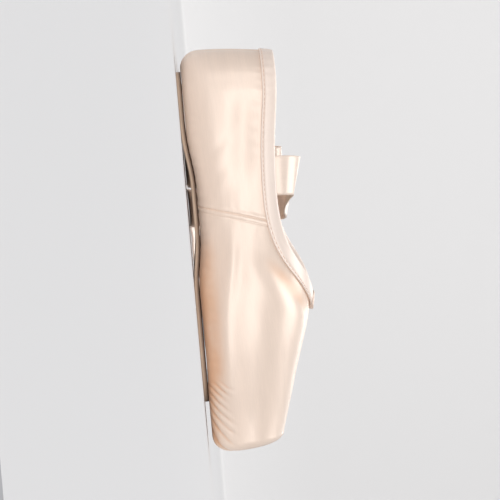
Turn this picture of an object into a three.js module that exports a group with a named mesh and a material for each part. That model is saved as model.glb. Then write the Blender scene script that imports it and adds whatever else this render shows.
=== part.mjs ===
// Pointe shoe: a satin shell lasted over a stiff box, on a thin waisted sole, with two ribbon ties.
// +X runs from the heel to the toe, +Z up, and the origin is on the floor under the middle of the shoe.
// The shoe has no left or right, so every piece but the ribbons is the same on both sides.

import * as THREE from "three";
import { mergeVertices } from "three/addons/utils/BufferGeometryUtils.js";

// Driving dimensions, in millimetres and degrees
const SHOE_LENGTH = 225;
const BALL_WIDTH = 79;
const HEEL_WIDTH = 56;
const THROAT_HEIGHT = 65;
const HEEL_HEIGHT = 54;
const WAIST_HEIGHT = 49;
const VAMP_LENGTH = 81;
const PLATFORM_WIDTH = 42;
const PLATFORM_DEPTH = 26.5;
const PLATFORM_LEAN = 5;
const TIP_SOLE_RADIUS = 10;
const TIP_SIDE_RADIUS = 6;
const TIP_VAMP_RADIUS = 4;
const HEEL_CORNER = 10;
const HEEL_LEAN = 4;
const ARCH_RISE = 3;
const QUARTER_WALL = 1.6;
const BOX_WALL = 3;
const SOLE_THICKNESS = 2.6;
const SOLE_SET_BACK = 1;
const SOLE_BEVEL = 0.8;
const SOLE_END = 26;
const INSOLE_THICKNESS = 2;
const LASTING_MARGIN = 6;
const FILLER_CLEARANCE = 1;
const BINDING_WIDTH = 7;
const BINDING_THICKNESS = 0.8;
const BINDING_CLEARANCE = 0.4;
const RIBBON_WIDTH = 22;
const RIBBON_THICKNESS = 0.8;
const GAP = 0.3;

// Places that follow from them
const HEEL_ROUND = HEEL_WIDTH / 2;
const THROAT = SHOE_LENGTH - VAMP_LENGTH;
const UNDERSIDE = SOLE_THICKNESS + GAP;
const TIP_BOTTOM = UNDERSIDE;
const PLATFORM_RISE = TIP_BOTTOM + TIP_SOLE_RADIUS;
const TIP_TOP = PLATFORM_RISE + PLATFORM_DEPTH + TIP_VAMP_RADIUS;
const TIP_WIDTH = PLATFORM_WIDTH + 2 * TIP_SIDE_RADIUS;
const BODY_END = SHOE_LENGTH - TIP_SOLE_RADIUS;
const RIGHT_ANGLE = Math.PI / 2;

// Stations along the sole, as shares of the length
const HEEL_SEAT_END = 0.17;
const ARCH_START = 0.35;
const ARCH_END = 0.43;
const BALL_START = 0.6;
const BOX_START = 0.82;

// Sections of the last. at: share of the length. width: share of the width that it follows.
// flat: flat of the bottom, share of the half width. crown: top of the whole section, and
// belly: height of its widest point, both shares of the throat height. power: squareness.
const SECTIONS = [
  { at: 0, width: 0.98, of: HEEL_WIDTH, flat: 0.68, crown: 1.38, belly: 0.3, power: 2.3 },
  { at: 0.12, width: 1, of: HEEL_WIDTH, flat: 0.67, crown: 1.37, belly: 0.3, power: 2.3 },
  { at: 0.22, width: 1.01, of: HEEL_WIDTH, flat: 0.64, crown: 1.34, belly: 0.31, power: 2.3 },
  { at: 0.32, width: 0.73, of: BALL_WIDTH, flat: 0.57, crown: 1.29, belly: 0.33, power: 2.3 },
  { at: 0.42, width: 0.79, of: BALL_WIDTH, flat: 0.5, crown: 1.19, belly: 0.34, power: 2.3 },
  { at: 0.5, width: 0.88, of: BALL_WIDTH, flat: 0.51, crown: 1.1, belly: 0.35, power: 2.3 },
  { at: 0.58, width: 0.965, of: BALL_WIDTH, flat: 0.58, crown: 1.03, belly: 0.37, power: 2.35 },
  { at: 0.65, width: 1, of: BALL_WIDTH, flat: 0.64, crown: 0.992, belly: 0.37, power: 2.4 },
  { at: 0.72, width: 0.975, of: BALL_WIDTH, flat: 0.67, crown: 0.93, belly: 0.36, power: 2.4 },
  { at: 0.79, width: 0.9, of: BALL_WIDTH, flat: 0.67, crown: 0.855, belly: 0.35, power: 2.4 },
  { at: 0.86, width: 1.18, of: TIP_WIDTH, flat: 0.63, crown: 1.18, of_crown: TIP_TOP, belly: 0.34, power: 2.4 },
  { at: 0.92, width: 1.07, of: TIP_WIDTH, flat: 0.58, crown: 1.1, of_crown: TIP_TOP, belly: 0.345, power: 2.4 },
  { at: 1, width: 0.985, of: TIP_WIDTH, flat: 0.5, crown: 0.985, of_crown: TIP_TOP, belly: 0.345, power: 2.4 },
];

// The topline, by its height behind the ankle and by the half width of the opening before it.
// back: share of the length back from the throat. height, width: shares of what they follow.
const TOPLINE = [
  { back: 0.64, height: 1, of: HEEL_HEIGHT },
  { back: 0.54, height: 0.99, of: HEEL_HEIGHT },
  { back: 0.42, height: 1.03, of: WAIST_HEIGHT },
  { back: 0.3, height: 1, of: WAIST_HEIGHT },
  { back: 0.2, height: 1.03, of: WAIST_HEIGHT },
  { back: 0.11, width: 0.67, of: BALL_WIDTH },
  { back: 0.07, width: 0.53, of: BALL_WIDTH },
  { back: 0.04, width: 0.37, of: BALL_WIDTH },
  { back: 0.018, width: 0.21, of: BALL_WIDTH },
  { back: 0.005, width: 0.09, of: BALL_WIDTH },
  { back: 0, width: 0, of: BALL_WIDTH },
];

// Curves through tables
function spline(xs, ys) {
  const last = xs.length - 1;
  const bend = xs.map(() => 0);
  const load = xs.map(() => 0);
  for (let i = 1; i < last; i++) {
    const before = xs[i] - xs[i - 1];
    const after = xs[i + 1] - xs[i];
    const share = before / (before + after);
    const pivot = share * bend[i - 1] + 2;
    const turn = (ys[i + 1] - ys[i]) / after - (ys[i] - ys[i - 1]) / before;
    bend[i] = (share - 1) / pivot;
    load[i] = ((6 * turn) / (before + after) - share * load[i - 1]) / pivot;
  }
  for (let i = last - 1; i > 0; i--) bend[i] = bend[i] * bend[i + 1] + load[i];
  return (x) => {
    let i = 0;
    while (i < last - 1 && x > xs[i + 1]) i++;
    const span = xs[i + 1] - xs[i];
    const b = (x - xs[i]) / span;
    const a = 1 - b;
    const sag = ((a ** 3 - a) * bend[i] + (b ** 3 - b) * bend[i + 1]) * (span ** 2 / 6);
    return a * ys[i] + b * ys[i + 1] + sag;
  };
}

function ramp(x, start, end) {
  return THREE.MathUtils.smootherstep(x, Math.min(start, end), Math.max(start, end));
}

const stations = SECTIONS.map((row) => row.at * SHOE_LENGTH);
const halfWidthAt = spline(stations, SECTIONS.map((row) => (row.width * row.of) / 2));
const flatShareAt = spline(stations, SECTIONS.map((row) => row.flat));
const crownAt = spline(stations, SECTIONS.map((row) => row.crown * (row.of_crown ?? THROAT_HEIGHT)));
const bellyAt = spline(stations, SECTIONS.map((row) => row.belly * THROAT_HEIGHT));
const powerAt = spline(stations, SECTIONS.map((row) => row.power));

function undersideAt(x) {
  const up = ramp(x, HEEL_SEAT_END * SHOE_LENGTH, ARCH_START * SHOE_LENGTH);
  const down = ramp(x, ARCH_END * SHOE_LENGTH, BALL_START * SHOE_LENGTH);
  return UNDERSIDE + ARCH_RISE * (up - down);
}

function sectionAt(x) {
  const power = powerAt(x);
  const behind = Math.max(0, 1 - x / HEEL_ROUND);
  const round = Math.max(0, 1 - behind ** power) ** (1 / power);
  const half = halfWidthAt(x) * round;
  const flat = half * flatShareAt(x);
  return { power, half, flat, crown: crownAt(x), belly: bellyAt(x), underside: undersideAt(x) };
}

// The back of the heel leans in to the collar and rounds under to the sole,
// and the tip leans back so that the platform stands square to the sole on pointe.
function warped(point) {
  const fade = Math.max(0, 1 - point.x / (SHOE_LENGTH / 4)) ** 2;
  const above = point.z - UNDERSIDE;
  const under = Math.max(0, HEEL_CORNER - above);
  const corner = HEEL_CORNER - Math.sqrt(Math.max(0, HEEL_CORNER ** 2 - under ** 2));
  const rise = Math.max(0, above - HEEL_CORNER) / (HEEL_HEIGHT - UNDERSIDE - HEEL_CORNER);
  const lean = ramp(point.x, BOX_START * SHOE_LENGTH, SHOE_LENGTH);
  const slope = Math.tan(THREE.MathUtils.degToRad(PLATFORM_LEAN));
  const shift = fade * (corner + HEEL_LEAN * rise ** 2) - lean * slope * (point.z - PLATFORM_RISE);
  return new THREE.Vector3(point.x + shift, point.y, point.z);
}

function unwarpedX(point) {
  const found = point.clone();
  for (let i = 0; i < 5; i++) found.x += point.x - warped(found).x;
  return found.x;
}

// Topline
function angleOfHeight(x, height) {
  const { power, crown, belly } = sectionAt(x);
  return Math.asin(Math.min(1, ((height - belly) / (crown - belly)) ** (power / 2)));
}

function angleOfWidth(x, width) {
  const { power, half } = sectionAt(x);
  return Math.acos(Math.min(1, (width / 2 / half) ** (power / 2)));
}

const toplineStations = TOPLINE.map((row) => Math.max(0, THROAT - row.back * SHOE_LENGTH));
const toplineAngleAt = spline(
  toplineStations,
  TOPLINE.map((row, i) => {
    const x = toplineStations[i];
    return row.height ? angleOfHeight(x, row.height * row.of) : angleOfWidth(x, row.width * row.of);
  })
);

// Opening under the foot, which insole and outsole close
const OPENING_START = HEEL_ROUND;
const OPENING_END = SHOE_LENGTH - SOLE_END - 2 * LASTING_MARGIN;
const OPENING_ROUND = BALL_WIDTH / 5;

function endRound(x, start, end, round) {
  const inside = Math.max(0, Math.min(1, (x - start) / round, (end - x) / round));
  return Math.sqrt(inside * (2 - inside));
}

function openingHalfAt(x) {
  const { flat } = sectionAt(x);
  return Math.max(0, flat - LASTING_MARGIN) * endRound(x, OPENING_START, OPENING_END, OPENING_ROUND);
}

// Stations of the shell, closer together where it turns
function between(start, end, steps, ease = (t) => t) {
  return Array.from({ length: steps }, (_, i) => start + (end - start) * ease((i + 1) / steps));
}

const easeIn = (t) => 1 - Math.cos(t * RIGHT_ANGLE);
const easeOut = (t) => Math.sin(t * RIGHT_ANGLE);
const INSTEP = THROAT - (THROAT - HEEL_ROUND) / 4;
const COLUMNS = [
  0,
  ...between(0, HEEL_ROUND, 8, easeIn),
  ...between(HEEL_ROUND, INSTEP, 11),
  ...between(INSTEP, THROAT, 9, easeOut),
  ...between(THROAT, OPENING_END, 6),
  ...between(OPENING_END, BODY_END, 5),
];

// Rows of half a section, from the middle of the sole round to the topline
const ROWS = [
  ...[0, ...between(0, 1, 2)].map((t) => ({ zone: "flat", t })),
  ...between(0, 1, 5).map((t) => ({ zone: "corner", t })),
  ...between(0, 1, 10).map((t) => ({ zone: "side", t })),
];

// A point of the last's surface in a section, with its outward direction across the section
function lastPoint(x, { zone, t }) {
  const { power, half, flat, crown, belly, underside } = sectionAt(x);
  const bow = (share) => Math.max(0, share) ** (2 / power);
  if (zone === "flat") {
    const edge = openingHalfAt(x);
    const y = edge + (flat - edge) * t;
    return { point: new THREE.Vector3(x, y, underside), out: new THREE.Vector3(0, 0, -1) };
  }
  const side = zone === "side";
  const topAngle = x < THROAT ? toplineAngleAt(x) : RIGHT_ANGLE;
  const angle = t * (side ? topAngle : RIGHT_ANGLE);
  const across = bow(side ? Math.cos(angle) : Math.sin(angle));
  const up = bow(side ? Math.sin(angle) : Math.cos(angle));
  const reach = side ? half : half - flat;
  const height = side ? crown - belly : underside - belly;
  const point = new THREE.Vector3(x, half - reach + reach * across, belly + height * up);
  const out = new THREE.Vector3(0, across ** (power - 1) * Math.abs(height), up ** (power - 1) * reach);
  if (!side) out.z *= -1;
  return { point, out: out.normalize() };
}

function tipRadius({ zone, t }) {
  if (zone === "flat") return TIP_SOLE_RADIUS;
  const from = zone === "corner" ? TIP_SOLE_RADIUS : TIP_SIDE_RADIUS;
  const to = zone === "corner" ? TIP_SIDE_RADIUS : TIP_VAMP_RADIUS;
  return THREE.MathUtils.lerp(from, to, THREE.MathUtils.smoothstep(t, 0, 1));
}

// Columns of the half shell: sections, then the rounded edge of the tip, then the platform's middle
function shellColumns() {
  const bodies = COLUMNS.map((x) =>
    ROWS.map((row) => {
      const stretch = ramp(x, BOX_START * SHOE_LENGTH, BODY_END);
      return warped(lastPoint(x + stretch * (TIP_SOLE_RADIUS - tipRadius(row)), row).point);
    })
  );
  const edges = between(0, RIGHT_ANGLE, 4).map((turn) =>
    ROWS.map((row) => {
      const radius = tipRadius(row);
      const { point, out } = lastPoint(SHOE_LENGTH - radius, row);
      point.addScaledVector(out, radius * (Math.cos(turn) - 1));
      point.x += radius * Math.sin(turn);
      return warped(point);
    })
  );
  const middle = warped(new THREE.Vector3(SHOE_LENGTH, 0, PLATFORM_RISE + PLATFORM_DEPTH / 2));
  return [...bodies, ...edges, ROWS.map(() => middle)];
}

// Solids from points
function solidGeometry(points, triangles) {
  const geometry = new THREE.BufferGeometry();
  geometry.setAttribute("position", new THREE.Float32BufferAttribute(points.flatMap((p) => p.toArray()), 3));
  geometry.setIndex(triangles);
  return closedUp(geometry);
}

// Merges shared corners and drops the triangles that collapse with them
function closedUp(geometry) {
  const merged = mergeVertices(geometry, 1e-3);
  const index = merged.getIndex().array;
  const kept = [];
  for (let i = 0; i < index.length; i += 3) {
    const [a, b, c] = index.slice(i, i + 3);
    if (a !== b && b !== c && c !== a) kept.push(a, b, c);
  }
  merged.setIndex(kept);
  return merged;
}

// The wall is thin cloth in the quarters and stiffened in the box
function wallAt(x) {
  return THREE.MathUtils.lerp(QUARTER_WALL, BOX_WALL, ramp(x, THROAT + 2 * BINDING_WIDTH, BOX_START * SHOE_LENGTH));
}

// Gives a sheet a wall on its inner side and closes it along its edges
function thickened(sheet, wallOf) {
  sheet.computeVertexNormals();
  const position = sheet.getAttribute("position");
  const normal = sheet.getAttribute("normal");
  const count = position.count;
  const points = [];
  for (let i = 0; i < count; i++) points.push(new THREE.Vector3().fromBufferAttribute(position, i));
  for (let i = 0; i < count; i++) {
    const inward = new THREE.Vector3().fromBufferAttribute(normal, i);
    points.push(points[i].clone().addScaledVector(inward, -wallOf(points[i])));
  }
  const index = [...sheet.getIndex().array];
  const triangles = [...index];
  const edges = new Map();
  for (let i = 0; i < index.length; i += 3) {
    const corners = index.slice(i, i + 3);
    triangles.push(...corners.map((corner) => corner + count).reverse());
    corners.forEach((a, k) => edges.set(`${a} ${corners[(k + 1) % 3]}`, [a, corners[(k + 1) % 3]]));
  }
  for (const [a, b] of edges.values()) {
    if (edges.has(`${b} ${a}`)) continue;
    triangles.push(b, a, a + count, b, a + count, b + count);
  }
  return solidGeometry(points, triangles);
}

// Skins a row of closed rings, with a fan over each end unless the row closes on itself
function lofted(rings, closed = false) {
  const size = rings[0].length;
  const triangles = [];
  const steps = closed ? rings.length : rings.length - 1;
  for (let i = 0; i < steps; i++) {
    const here = i * size;
    const next = ((i + 1) % rings.length) * size;
    for (let k = 0; k < size; k++) {
      const l = (k + 1) % size;
      triangles.push(here + k, next + k, next + l, here + k, next + l, here + l);
    }
  }
  const end = (rings.length - 1) * size;
  const open = (ring) => !closed && ring[0].distanceTo(ring[size - 1]) > GAP / 10;
  for (let k = 1; k < size - 1; k++) {
    if (open(rings[0])) triangles.push(0, k, k + 1);
    if (open(rings[rings.length - 1])) triangles.push(end, end + k + 1, end + k);
  }
  return solidGeometry(rings.flat(), triangles);
}

// Shell of the shoe
function upperGeometry() {
  const columns = shellColumns();
  const size = ROWS.length;
  const half = columns.flat();
  const mirror = half.map((p) => new THREE.Vector3(p.x, -p.y, p.z));
  const triangles = [];
  for (let i = 0; i < columns.length - 1; i++) {
    for (let k = 0; k < size - 1; k++) {
      const a = i * size + k;
      const b = a + size;
      triangles.push(a, b + 1, b, a, a + 1, b + 1);
      const [c, d] = [a + half.length, b + half.length];
      triangles.push(c, d, d + 1, c, d + 1, c + 1);
    }
  }
  const sheet = solidGeometry([...half, ...mirror], triangles);
  return thickened(sheet, (point) => wallAt(point.x));
}

// Both sides of a section from the points of one side, listed from the top down
function mirrored(side) {
  return [...side, ...side.map((p) => new THREE.Vector3(p.x, -p.y, p.z)).reverse()];
}

// The flat of the last's bottom at a station, drawn in from its edge
function bottomAt(x, setBack) {
  const step = 0.5;
  const edge = (at) => {
    const { flat, underside } = sectionAt(at);
    return warped(new THREE.Vector3(at, flat, underside));
  };
  const here = edge(x);
  const along = edge(x + step).sub(edge(Math.max(0, x - step))).setZ(0).normalize();
  const inset = new THREE.Vector3(along.y, -along.x, 0).multiplyScalar(setBack);
  return here.add(inset);
}

// Outsole
function outsoleGeometry() {
  const end = SHOE_LENGTH - SOLE_END;
  const round = BALL_WIDTH / 4;
  const reach = [0, ...between(0, HEEL_ROUND, 8, easeIn), ...between(HEEL_ROUND, end - round, 16)];
  const rings = [...reach, ...between(end - round, end, 6, easeOut)].map((x) => {
    const edge = bottomAt(x, SOLE_SET_BACK);
    const half = x === 0 ? 0 : edge.y * endRound(x, -SHOE_LENGTH, end, round);
    const top = edge.z - GAP;
    const point = (y, z) => new THREE.Vector3(edge.x, Math.max(0, y), z);
    return mirrored([
      point(half, top),
      point(half, top - SOLE_THICKNESS + SOLE_BEVEL),
      point(half - SOLE_BEVEL, top - SOLE_THICKNESS),
    ]);
  });
  return lofted(rings);
}

// Insole, with the step under it that fills the opening of the shell
function insoleGeometry() {
  const reach = COLUMNS.filter((x) => x > HEEL_ROUND / 8 && x <= OPENING_END + LASTING_MARGIN);
  const rings = reach.map((x) => {
    const edge = bottomAt(x, wallAt(x) + 2 * GAP);
    const front = endRound(x, -SHOE_LENGTH, OPENING_END + 2 * LASTING_MARGIN, BALL_WIDTH / 4);
    const half = edge.y * front;
    const seat = edge.z + wallAt(x) + GAP;
    const opening = openingHalfAt(x) - FILLER_CLEARANCE;
    const fills = opening > LASTING_MARGIN;
    const inner = fills ? opening : 0;
    const point = (y, z) => new THREE.Vector3(edge.x, y, z);
    return mirrored([
      point(half, seat + INSOLE_THICKNESS),
      point(half, seat),
      point(inner, seat),
      point(inner, fills ? edge.z : seat),
    ]);
  });
  return lofted(rings);
}

// How far a point lies outside the last's upper half, as the number that is nought on its surface
function outside(point) {
  const x = unwarpedX(point);
  const { power, crown, belly } = sectionAt(x);
  const behind = Math.max(0, 1 - x / HEEL_ROUND);
  const rise = Math.max(0, (point.z - belly) / (crown - belly));
  return (Math.abs(point.y) / halfWidthAt(x)) ** power - (1 - behind ** power) * (1 - rise ** power);
}

function slopeOf(point) {
  const step = 0.05;
  const part = (axis) => {
    const there = point.clone();
    there[axis] += step;
    const back = point.clone();
    back[axis] -= step;
    return (outside(there) - outside(back)) / (2 * step);
  };
  return new THREE.Vector3(part("x"), part("y"), part("z"));
}

function ontoLast(point) {
  const found = point.clone();
  for (let i = 0; i < 6; i++) {
    const slope = slopeOf(found);
    found.addScaledVector(slope, -outside(found) / slope.lengthSq());
  }
  return found;
}

// Frames round the topline: a point, the wall's outward direction and the way down the wall
function toplineFrames() {
  const edgeRow = ROWS[ROWS.length - 1];
  const reach = COLUMNS.filter((x) => x <= THROAT);
  const right = reach.map((x) => warped(lastPoint(x, edgeRow).point));
  const left = right.slice(1, -1).map((p) => new THREE.Vector3(p.x, -p.y, p.z));
  const loop = [...right, ...left.reverse()];
  return loop.map((point, i) => {
    const before = loop[(i + loop.length - 1) % loop.length];
    const after = loop[(i + 1) % loop.length];
    const [a, b] = [point.clone().sub(before), after.clone().sub(point)];
    const along = a.normalize().add(b.normalize()).normalize();
    const out = slopeOf(point).normalize();
    const down = new THREE.Vector3().crossVectors(out, along).normalize();
    return { point, out, down };
  });
}

// Binding, folded over the topline
function bindingGeometry() {
  const inner = BINDING_CLEARANCE;
  const outer = inner + BINDING_THICKNESS;
  const rings = toplineFrames().map(({ point, out, down }) => {
    const wall = wallAt(point.x);
    const place = (depth, off) => {
      const at = point.clone().addScaledVector(down, depth);
      if (depth <= 0) return at.addScaledVector(out, off);
      const seat = ontoLast(at);
      return seat.addScaledVector(slopeOf(seat).normalize(), off);
    };
    return [
      place(BINDING_WIDTH / 2, inner),
      place(-inner, inner),
      place(-inner, -wall - inner),
      place(BINDING_WIDTH / 2, -wall - inner),
      place(BINDING_WIDTH, -wall - inner),
      place(BINDING_WIDTH, -wall - outer),
      place(BINDING_WIDTH / 2, -wall - outer),
      place(0, -wall - outer),
      place(-outer, -wall - inner),
      place(-outer, inner),
      place(0, outer),
      place(BINDING_WIDTH / 2, outer),
      place(BINDING_WIDTH, outer),
      place(BINDING_WIDTH, inner),
    ];
  });
  return lofted(rings, true);
}

// Routes of the ribbons, each a list of points from its sewn end: x from the heel, y to the left,
// z the height of its lower edge, and bank, the tilt of its width in degrees, where it turns on the floor
const RIGHT_ROUTE = [
  { x: 71, y: -24.2, z: 26 },
  { x: 71, y: -23.2, z: 36 },
  { x: 71, y: -22.6, z: 46 },
  { x: 71.5, y: -21.6, z: 54 },
  { x: 73, y: -16, z: 58.5 },
  { x: 77, y: -5, z: 56.5 },
  { x: 82, y: 7, z: 54.5 },
  { x: 87, y: 18, z: 54 },
  { x: 91, y: 28, z: 55 },
  { x: 93, y: 36, z: 50.5 },
  { x: 93.5, y: 38.5, z: 38 },
  { x: 93.5, y: 39, z: 24 },
  { x: 93.5, y: 40.5, z: 10 },
  { x: 93.5, y: 45, z: 2 },
  { x: 94, y: 53, z: 0 },
  { x: 97, y: 66, z: 0, bank: -12 },
  { x: 105, y: 82, z: 0, bank: -24 },
  { x: 118, y: 95, z: 0, bank: -20 },
  { x: 134, y: 104, z: 0 },
  { x: 153, y: 111, z: 0, bank: 10 },
  { x: 170, y: 122, z: 0, bank: 24 },
  { x: 180, y: 138, z: 0, bank: 30 },
  { x: 182, y: 157, z: 0, bank: 30 },
  { x: 175, y: 175, z: 0, bank: 24 },
  { x: 161, y: 188, z: 0, bank: 8 },
  { x: 144, y: 197, z: 0, bank: -8 },
  { x: 130, y: 209, z: 0, bank: -22 },
  { x: 121, y: 226, z: 0, bank: -28 },
  { x: 121, y: 245, z: 0, bank: -28 },
  { x: 130, y: 262, z: 0, bank: -20 },
  { x: 145, y: 274, z: 0, bank: -8 },
  { x: 163, y: 282, z: 0 },
  { x: 180, y: 288, z: 0 },
];
const LEFT_ROUTE = [
  { x: 71, y: 24.2, z: 26 },
  { x: 71, y: 23.2, z: 36 },
  { x: 71, y: 22.8, z: 46 },
  { x: 71, y: 24, z: 53 },
  { x: 71, y: 28, z: 55.5 },
  { x: 70.8, y: 31.8, z: 51 },
  { x: 70.5, y: 32.6, z: 40 },
  { x: 70.5, y: 33, z: 26 },
  { x: 70.5, y: 34, z: 12 },
  { x: 70, y: 39, z: 2.5 },
  { x: 69, y: 48, z: 0 },
  { x: 64, y: 63, z: 0, bank: 12 },
  { x: 53, y: 77, z: 0, bank: 20 },
  { x: 38, y: 89, z: 0, bank: 0 },
  { x: 26, y: 103, z: 0, bank: -22 },
  { x: 20, y: 120, z: 0, bank: -30 },
  { x: 24, y: 139, z: 0, bank: -30 },
  { x: 38, y: 152, z: 0, bank: -22 },
  { x: 57, y: 159, z: 0, bank: 0 },
  { x: 76, y: 166, z: 0, bank: 20 },
  { x: 91, y: 178, z: 0, bank: 28 },
  { x: 96, y: 196, z: 0, bank: 30 },
  { x: 91, y: 214, z: 0, bank: 24 },
  { x: 77, y: 227, z: 0, bank: 8 },
  { x: 60, y: 236, z: 0, bank: -8 },
  { x: 45, y: 247, z: 0, bank: -22 },
  { x: 36, y: 263, z: 0, bank: -26 },
  { x: 37, y: 281, z: 0, bank: -20 },
  { x: 48, y: 296, z: 0, bank: -8 },
  { x: 64, y: 304, z: 0 },
  { x: 84, y: 308, z: 0 },
];

// A flat ribbon along its route, lying along the topline where it leaves the quarter
function ribbonGeometry(route) {
  const curve = new THREE.CatmullRomCurve3(route.map(({ x, y, z }) => new THREE.Vector3(x, y, z)));
  const steps = 2 * (route.length - 1);
  const banks = route.map(({ bank = 0 }) => THREE.MathUtils.degToRad(bank));
  const bankAt = spline(banks.map((_, i) => i), banks);
  const up = new THREE.Vector3(0, 0, 1);
  let across = new THREE.Vector3(1, 0, 0);
  const rings = between(-1 / steps, 1, steps + 1).map((t) => {
    const point = curve.getPoint(t);
    const along = curve.getTangent(t);
    const level = new THREE.Vector3().crossVectors(along, up);
    const turned = level.length() > 0.5 && point.z < RIBBON_WIDTH / 2;
    across = (turned ? level : across).clone();
    across.addScaledVector(along, -across.dot(along)).normalize();
    const width = across.clone().applyAxisAngle(along, -bankAt(t * (route.length - 1)));
    const thick = new THREE.Vector3().crossVectors(along, width);
    width.multiplyScalar(RIBBON_WIDTH / 2);
    thick.multiplyScalar(RIBBON_THICKNESS / 2);
    point.z = Math.max(0, point.z) + Math.abs(width.z) + Math.abs(thick.z) + GAP / 2;
    return [
      point.clone().add(width).add(thick),
      point.clone().add(width).sub(thick),
      point.clone().sub(width).sub(thick),
      point.clone().sub(width).add(thick),
    ];
  });
  return lofted(rings);
}

// Placing
function named(name, geometry, colour, roughness) {
  const material = new THREE.MeshStandardMaterial({ color: colour, roughness, metalness: 0 });
  const mesh = new THREE.Mesh(geometry, material);
  mesh.name = name;
  mesh.position.x = -SHOE_LENGTH / 2;
  return mesh;
}

const shoe = new THREE.Group();
shoe.add(
  named("outsole", outsoleGeometry(), 0xdcbda5, 0.7),
  named("upper", upperGeometry(), 0xf3dccb, 0.35),
  named("insole", insoleGeometry(), 0xe9dccb, 0.85),
  named("binding", bindingGeometry(), 0xfaebe1, 0.45),
  named("ribbon_right", ribbonGeometry(RIGHT_ROUTE), 0xf6e3d6, 0.35),
  named("ribbon_left", ribbonGeometry(LEFT_ROUTE), 0xf6e3d6, 0.35)
);
export default shoe;
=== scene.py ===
"""Looks of a pointe shoe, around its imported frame: satin shell, binding, sole, insole, ribbons and stage."""

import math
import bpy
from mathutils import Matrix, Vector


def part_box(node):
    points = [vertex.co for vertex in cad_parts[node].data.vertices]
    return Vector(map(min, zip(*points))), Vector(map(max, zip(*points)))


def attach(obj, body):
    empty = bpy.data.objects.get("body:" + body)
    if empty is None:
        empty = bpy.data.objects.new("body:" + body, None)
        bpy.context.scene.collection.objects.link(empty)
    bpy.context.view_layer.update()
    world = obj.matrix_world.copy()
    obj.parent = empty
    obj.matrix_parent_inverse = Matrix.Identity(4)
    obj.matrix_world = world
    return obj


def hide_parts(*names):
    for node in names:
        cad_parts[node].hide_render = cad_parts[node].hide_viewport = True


bl_info = {
    "name": "Pointe shoe looks",
    "version": (1, 0, 0),
    "blender": (4, 5, 0),
    "location": "3D View > Sidebar > Pointe shoe",
    "description": "Dresses the frame of a pointe shoe in satin, leather and ribbon",
    "category": "Object",
}

import bpy
import numpy as np
from bpy.props import FloatProperty, FloatVectorProperty, PointerProperty
from mathutils import Matrix, Vector
from mathutils.kdtree import KDTree
from mathutils.noise import noise

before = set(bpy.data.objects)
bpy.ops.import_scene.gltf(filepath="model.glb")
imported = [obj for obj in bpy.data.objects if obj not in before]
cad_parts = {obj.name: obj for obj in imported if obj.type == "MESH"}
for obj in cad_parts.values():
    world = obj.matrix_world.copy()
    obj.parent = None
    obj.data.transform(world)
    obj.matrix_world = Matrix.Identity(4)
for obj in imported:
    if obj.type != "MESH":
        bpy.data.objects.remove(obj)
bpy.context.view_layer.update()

MM = 0.001
HEEL_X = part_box("upper")[0][0]
LENGTH = -2 * HEEL_X


# Sizes and colours

def length(name, default, description):
    return FloatProperty(name=name, default=default, description=description, unit="LENGTH", precision=4)


def colour(name, default, description):
    return FloatVectorProperty(
        name=name, default=default, description=description, subtype="COLOR", min=0, max=1)


class ShoeSizes(bpy.types.PropertyGroup):
    """Sizes of the shoe, in metres"""

    ball_width: length("Ball width", 0.079, "Width over the ball of the foot")
    heel_width: length("Heel width", 0.056, "Width of the heel")
    throat_height: length("Throat height", 0.065, "Height of the vamp at the throat")
    heel_height: length("Heel height", 0.054, "Height of the collar at the back seam")
    waist_height: length("Waist height", 0.049, "Height of the collar at the waist")
    vamp_length: length("Vamp length", 0.081, "From the platform to the throat")
    platform_width: length("Platform width", 0.042, "Flat of the platform, across")
    platform_depth: length("Platform depth", 0.0265, "Flat of the platform, sole to vamp")
    tip_sole_radius: length("Tip radius, sole", 0.01, "Rounding from the sole to the platform")
    tip_side_radius: length("Tip radius, side", 0.006, "Rounding from the side to the platform")
    tip_vamp_radius: length("Tip radius, vamp", 0.004, "Rounding from the vamp to the platform")
    heel_corner: length("Heel corner", 0.01, "Rounding of the heel to the sole")
    heel_lean: length("Heel lean", 0.004, "How far the back seam leans in")
    arch_rise: length("Arch rise", 0.003, "Rise of the sole at the waist")
    quarter_wall: length("Quarter wall", 0.0016, "Cloth and lining of the quarters")
    box_wall: length("Box wall", 0.003, "Stiffened cloth of the box")
    sole_thickness: length("Sole thickness", 0.0026, "Leather of the outsole")
    sole_set_back: length("Sole set back", 0.001, "From the edge of the last's bottom to the outsole's edge")
    sole_bevel: length("Sole bevel", 0.0008, "Rounding of the outsole's lower edge")
    insole_thickness: length("Insole thickness", 0.002, "Board of the insole")
    lasting_margin: length("Lasting margin", 0.006, "Cloth turned in under the last")
    filler_clearance: length("Filler clearance", 0.001, "Between the filler and the turned-in cloth")
    sole_end: length("Sole end", 0.026, "From the end of the outsole to the platform")
    binding_width: length("Binding width", 0.007, "Depth of the binding on the wall")
    binding_thickness: length("Binding thickness", 0.0008, "Folded satin of the binding")
    binding_clearance: length("Binding clearance", 0.0004, "Between the binding and the wall")
    ribbon_width: length("Ribbon width", 0.022, "Width of each ribbon")
    ribbon_thickness: length("Ribbon thickness", 0.00045, "Thickness of each ribbon")
    gap: length("Gap", 0.0003, "Between pieces that touch")
    pleat_height: length("Pleat height", 0.0011, "Height of the pleats under the tip")
    crease_depth: length("Crease depth", 0.0008, "Depth of the soft creases of the quarters")


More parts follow.
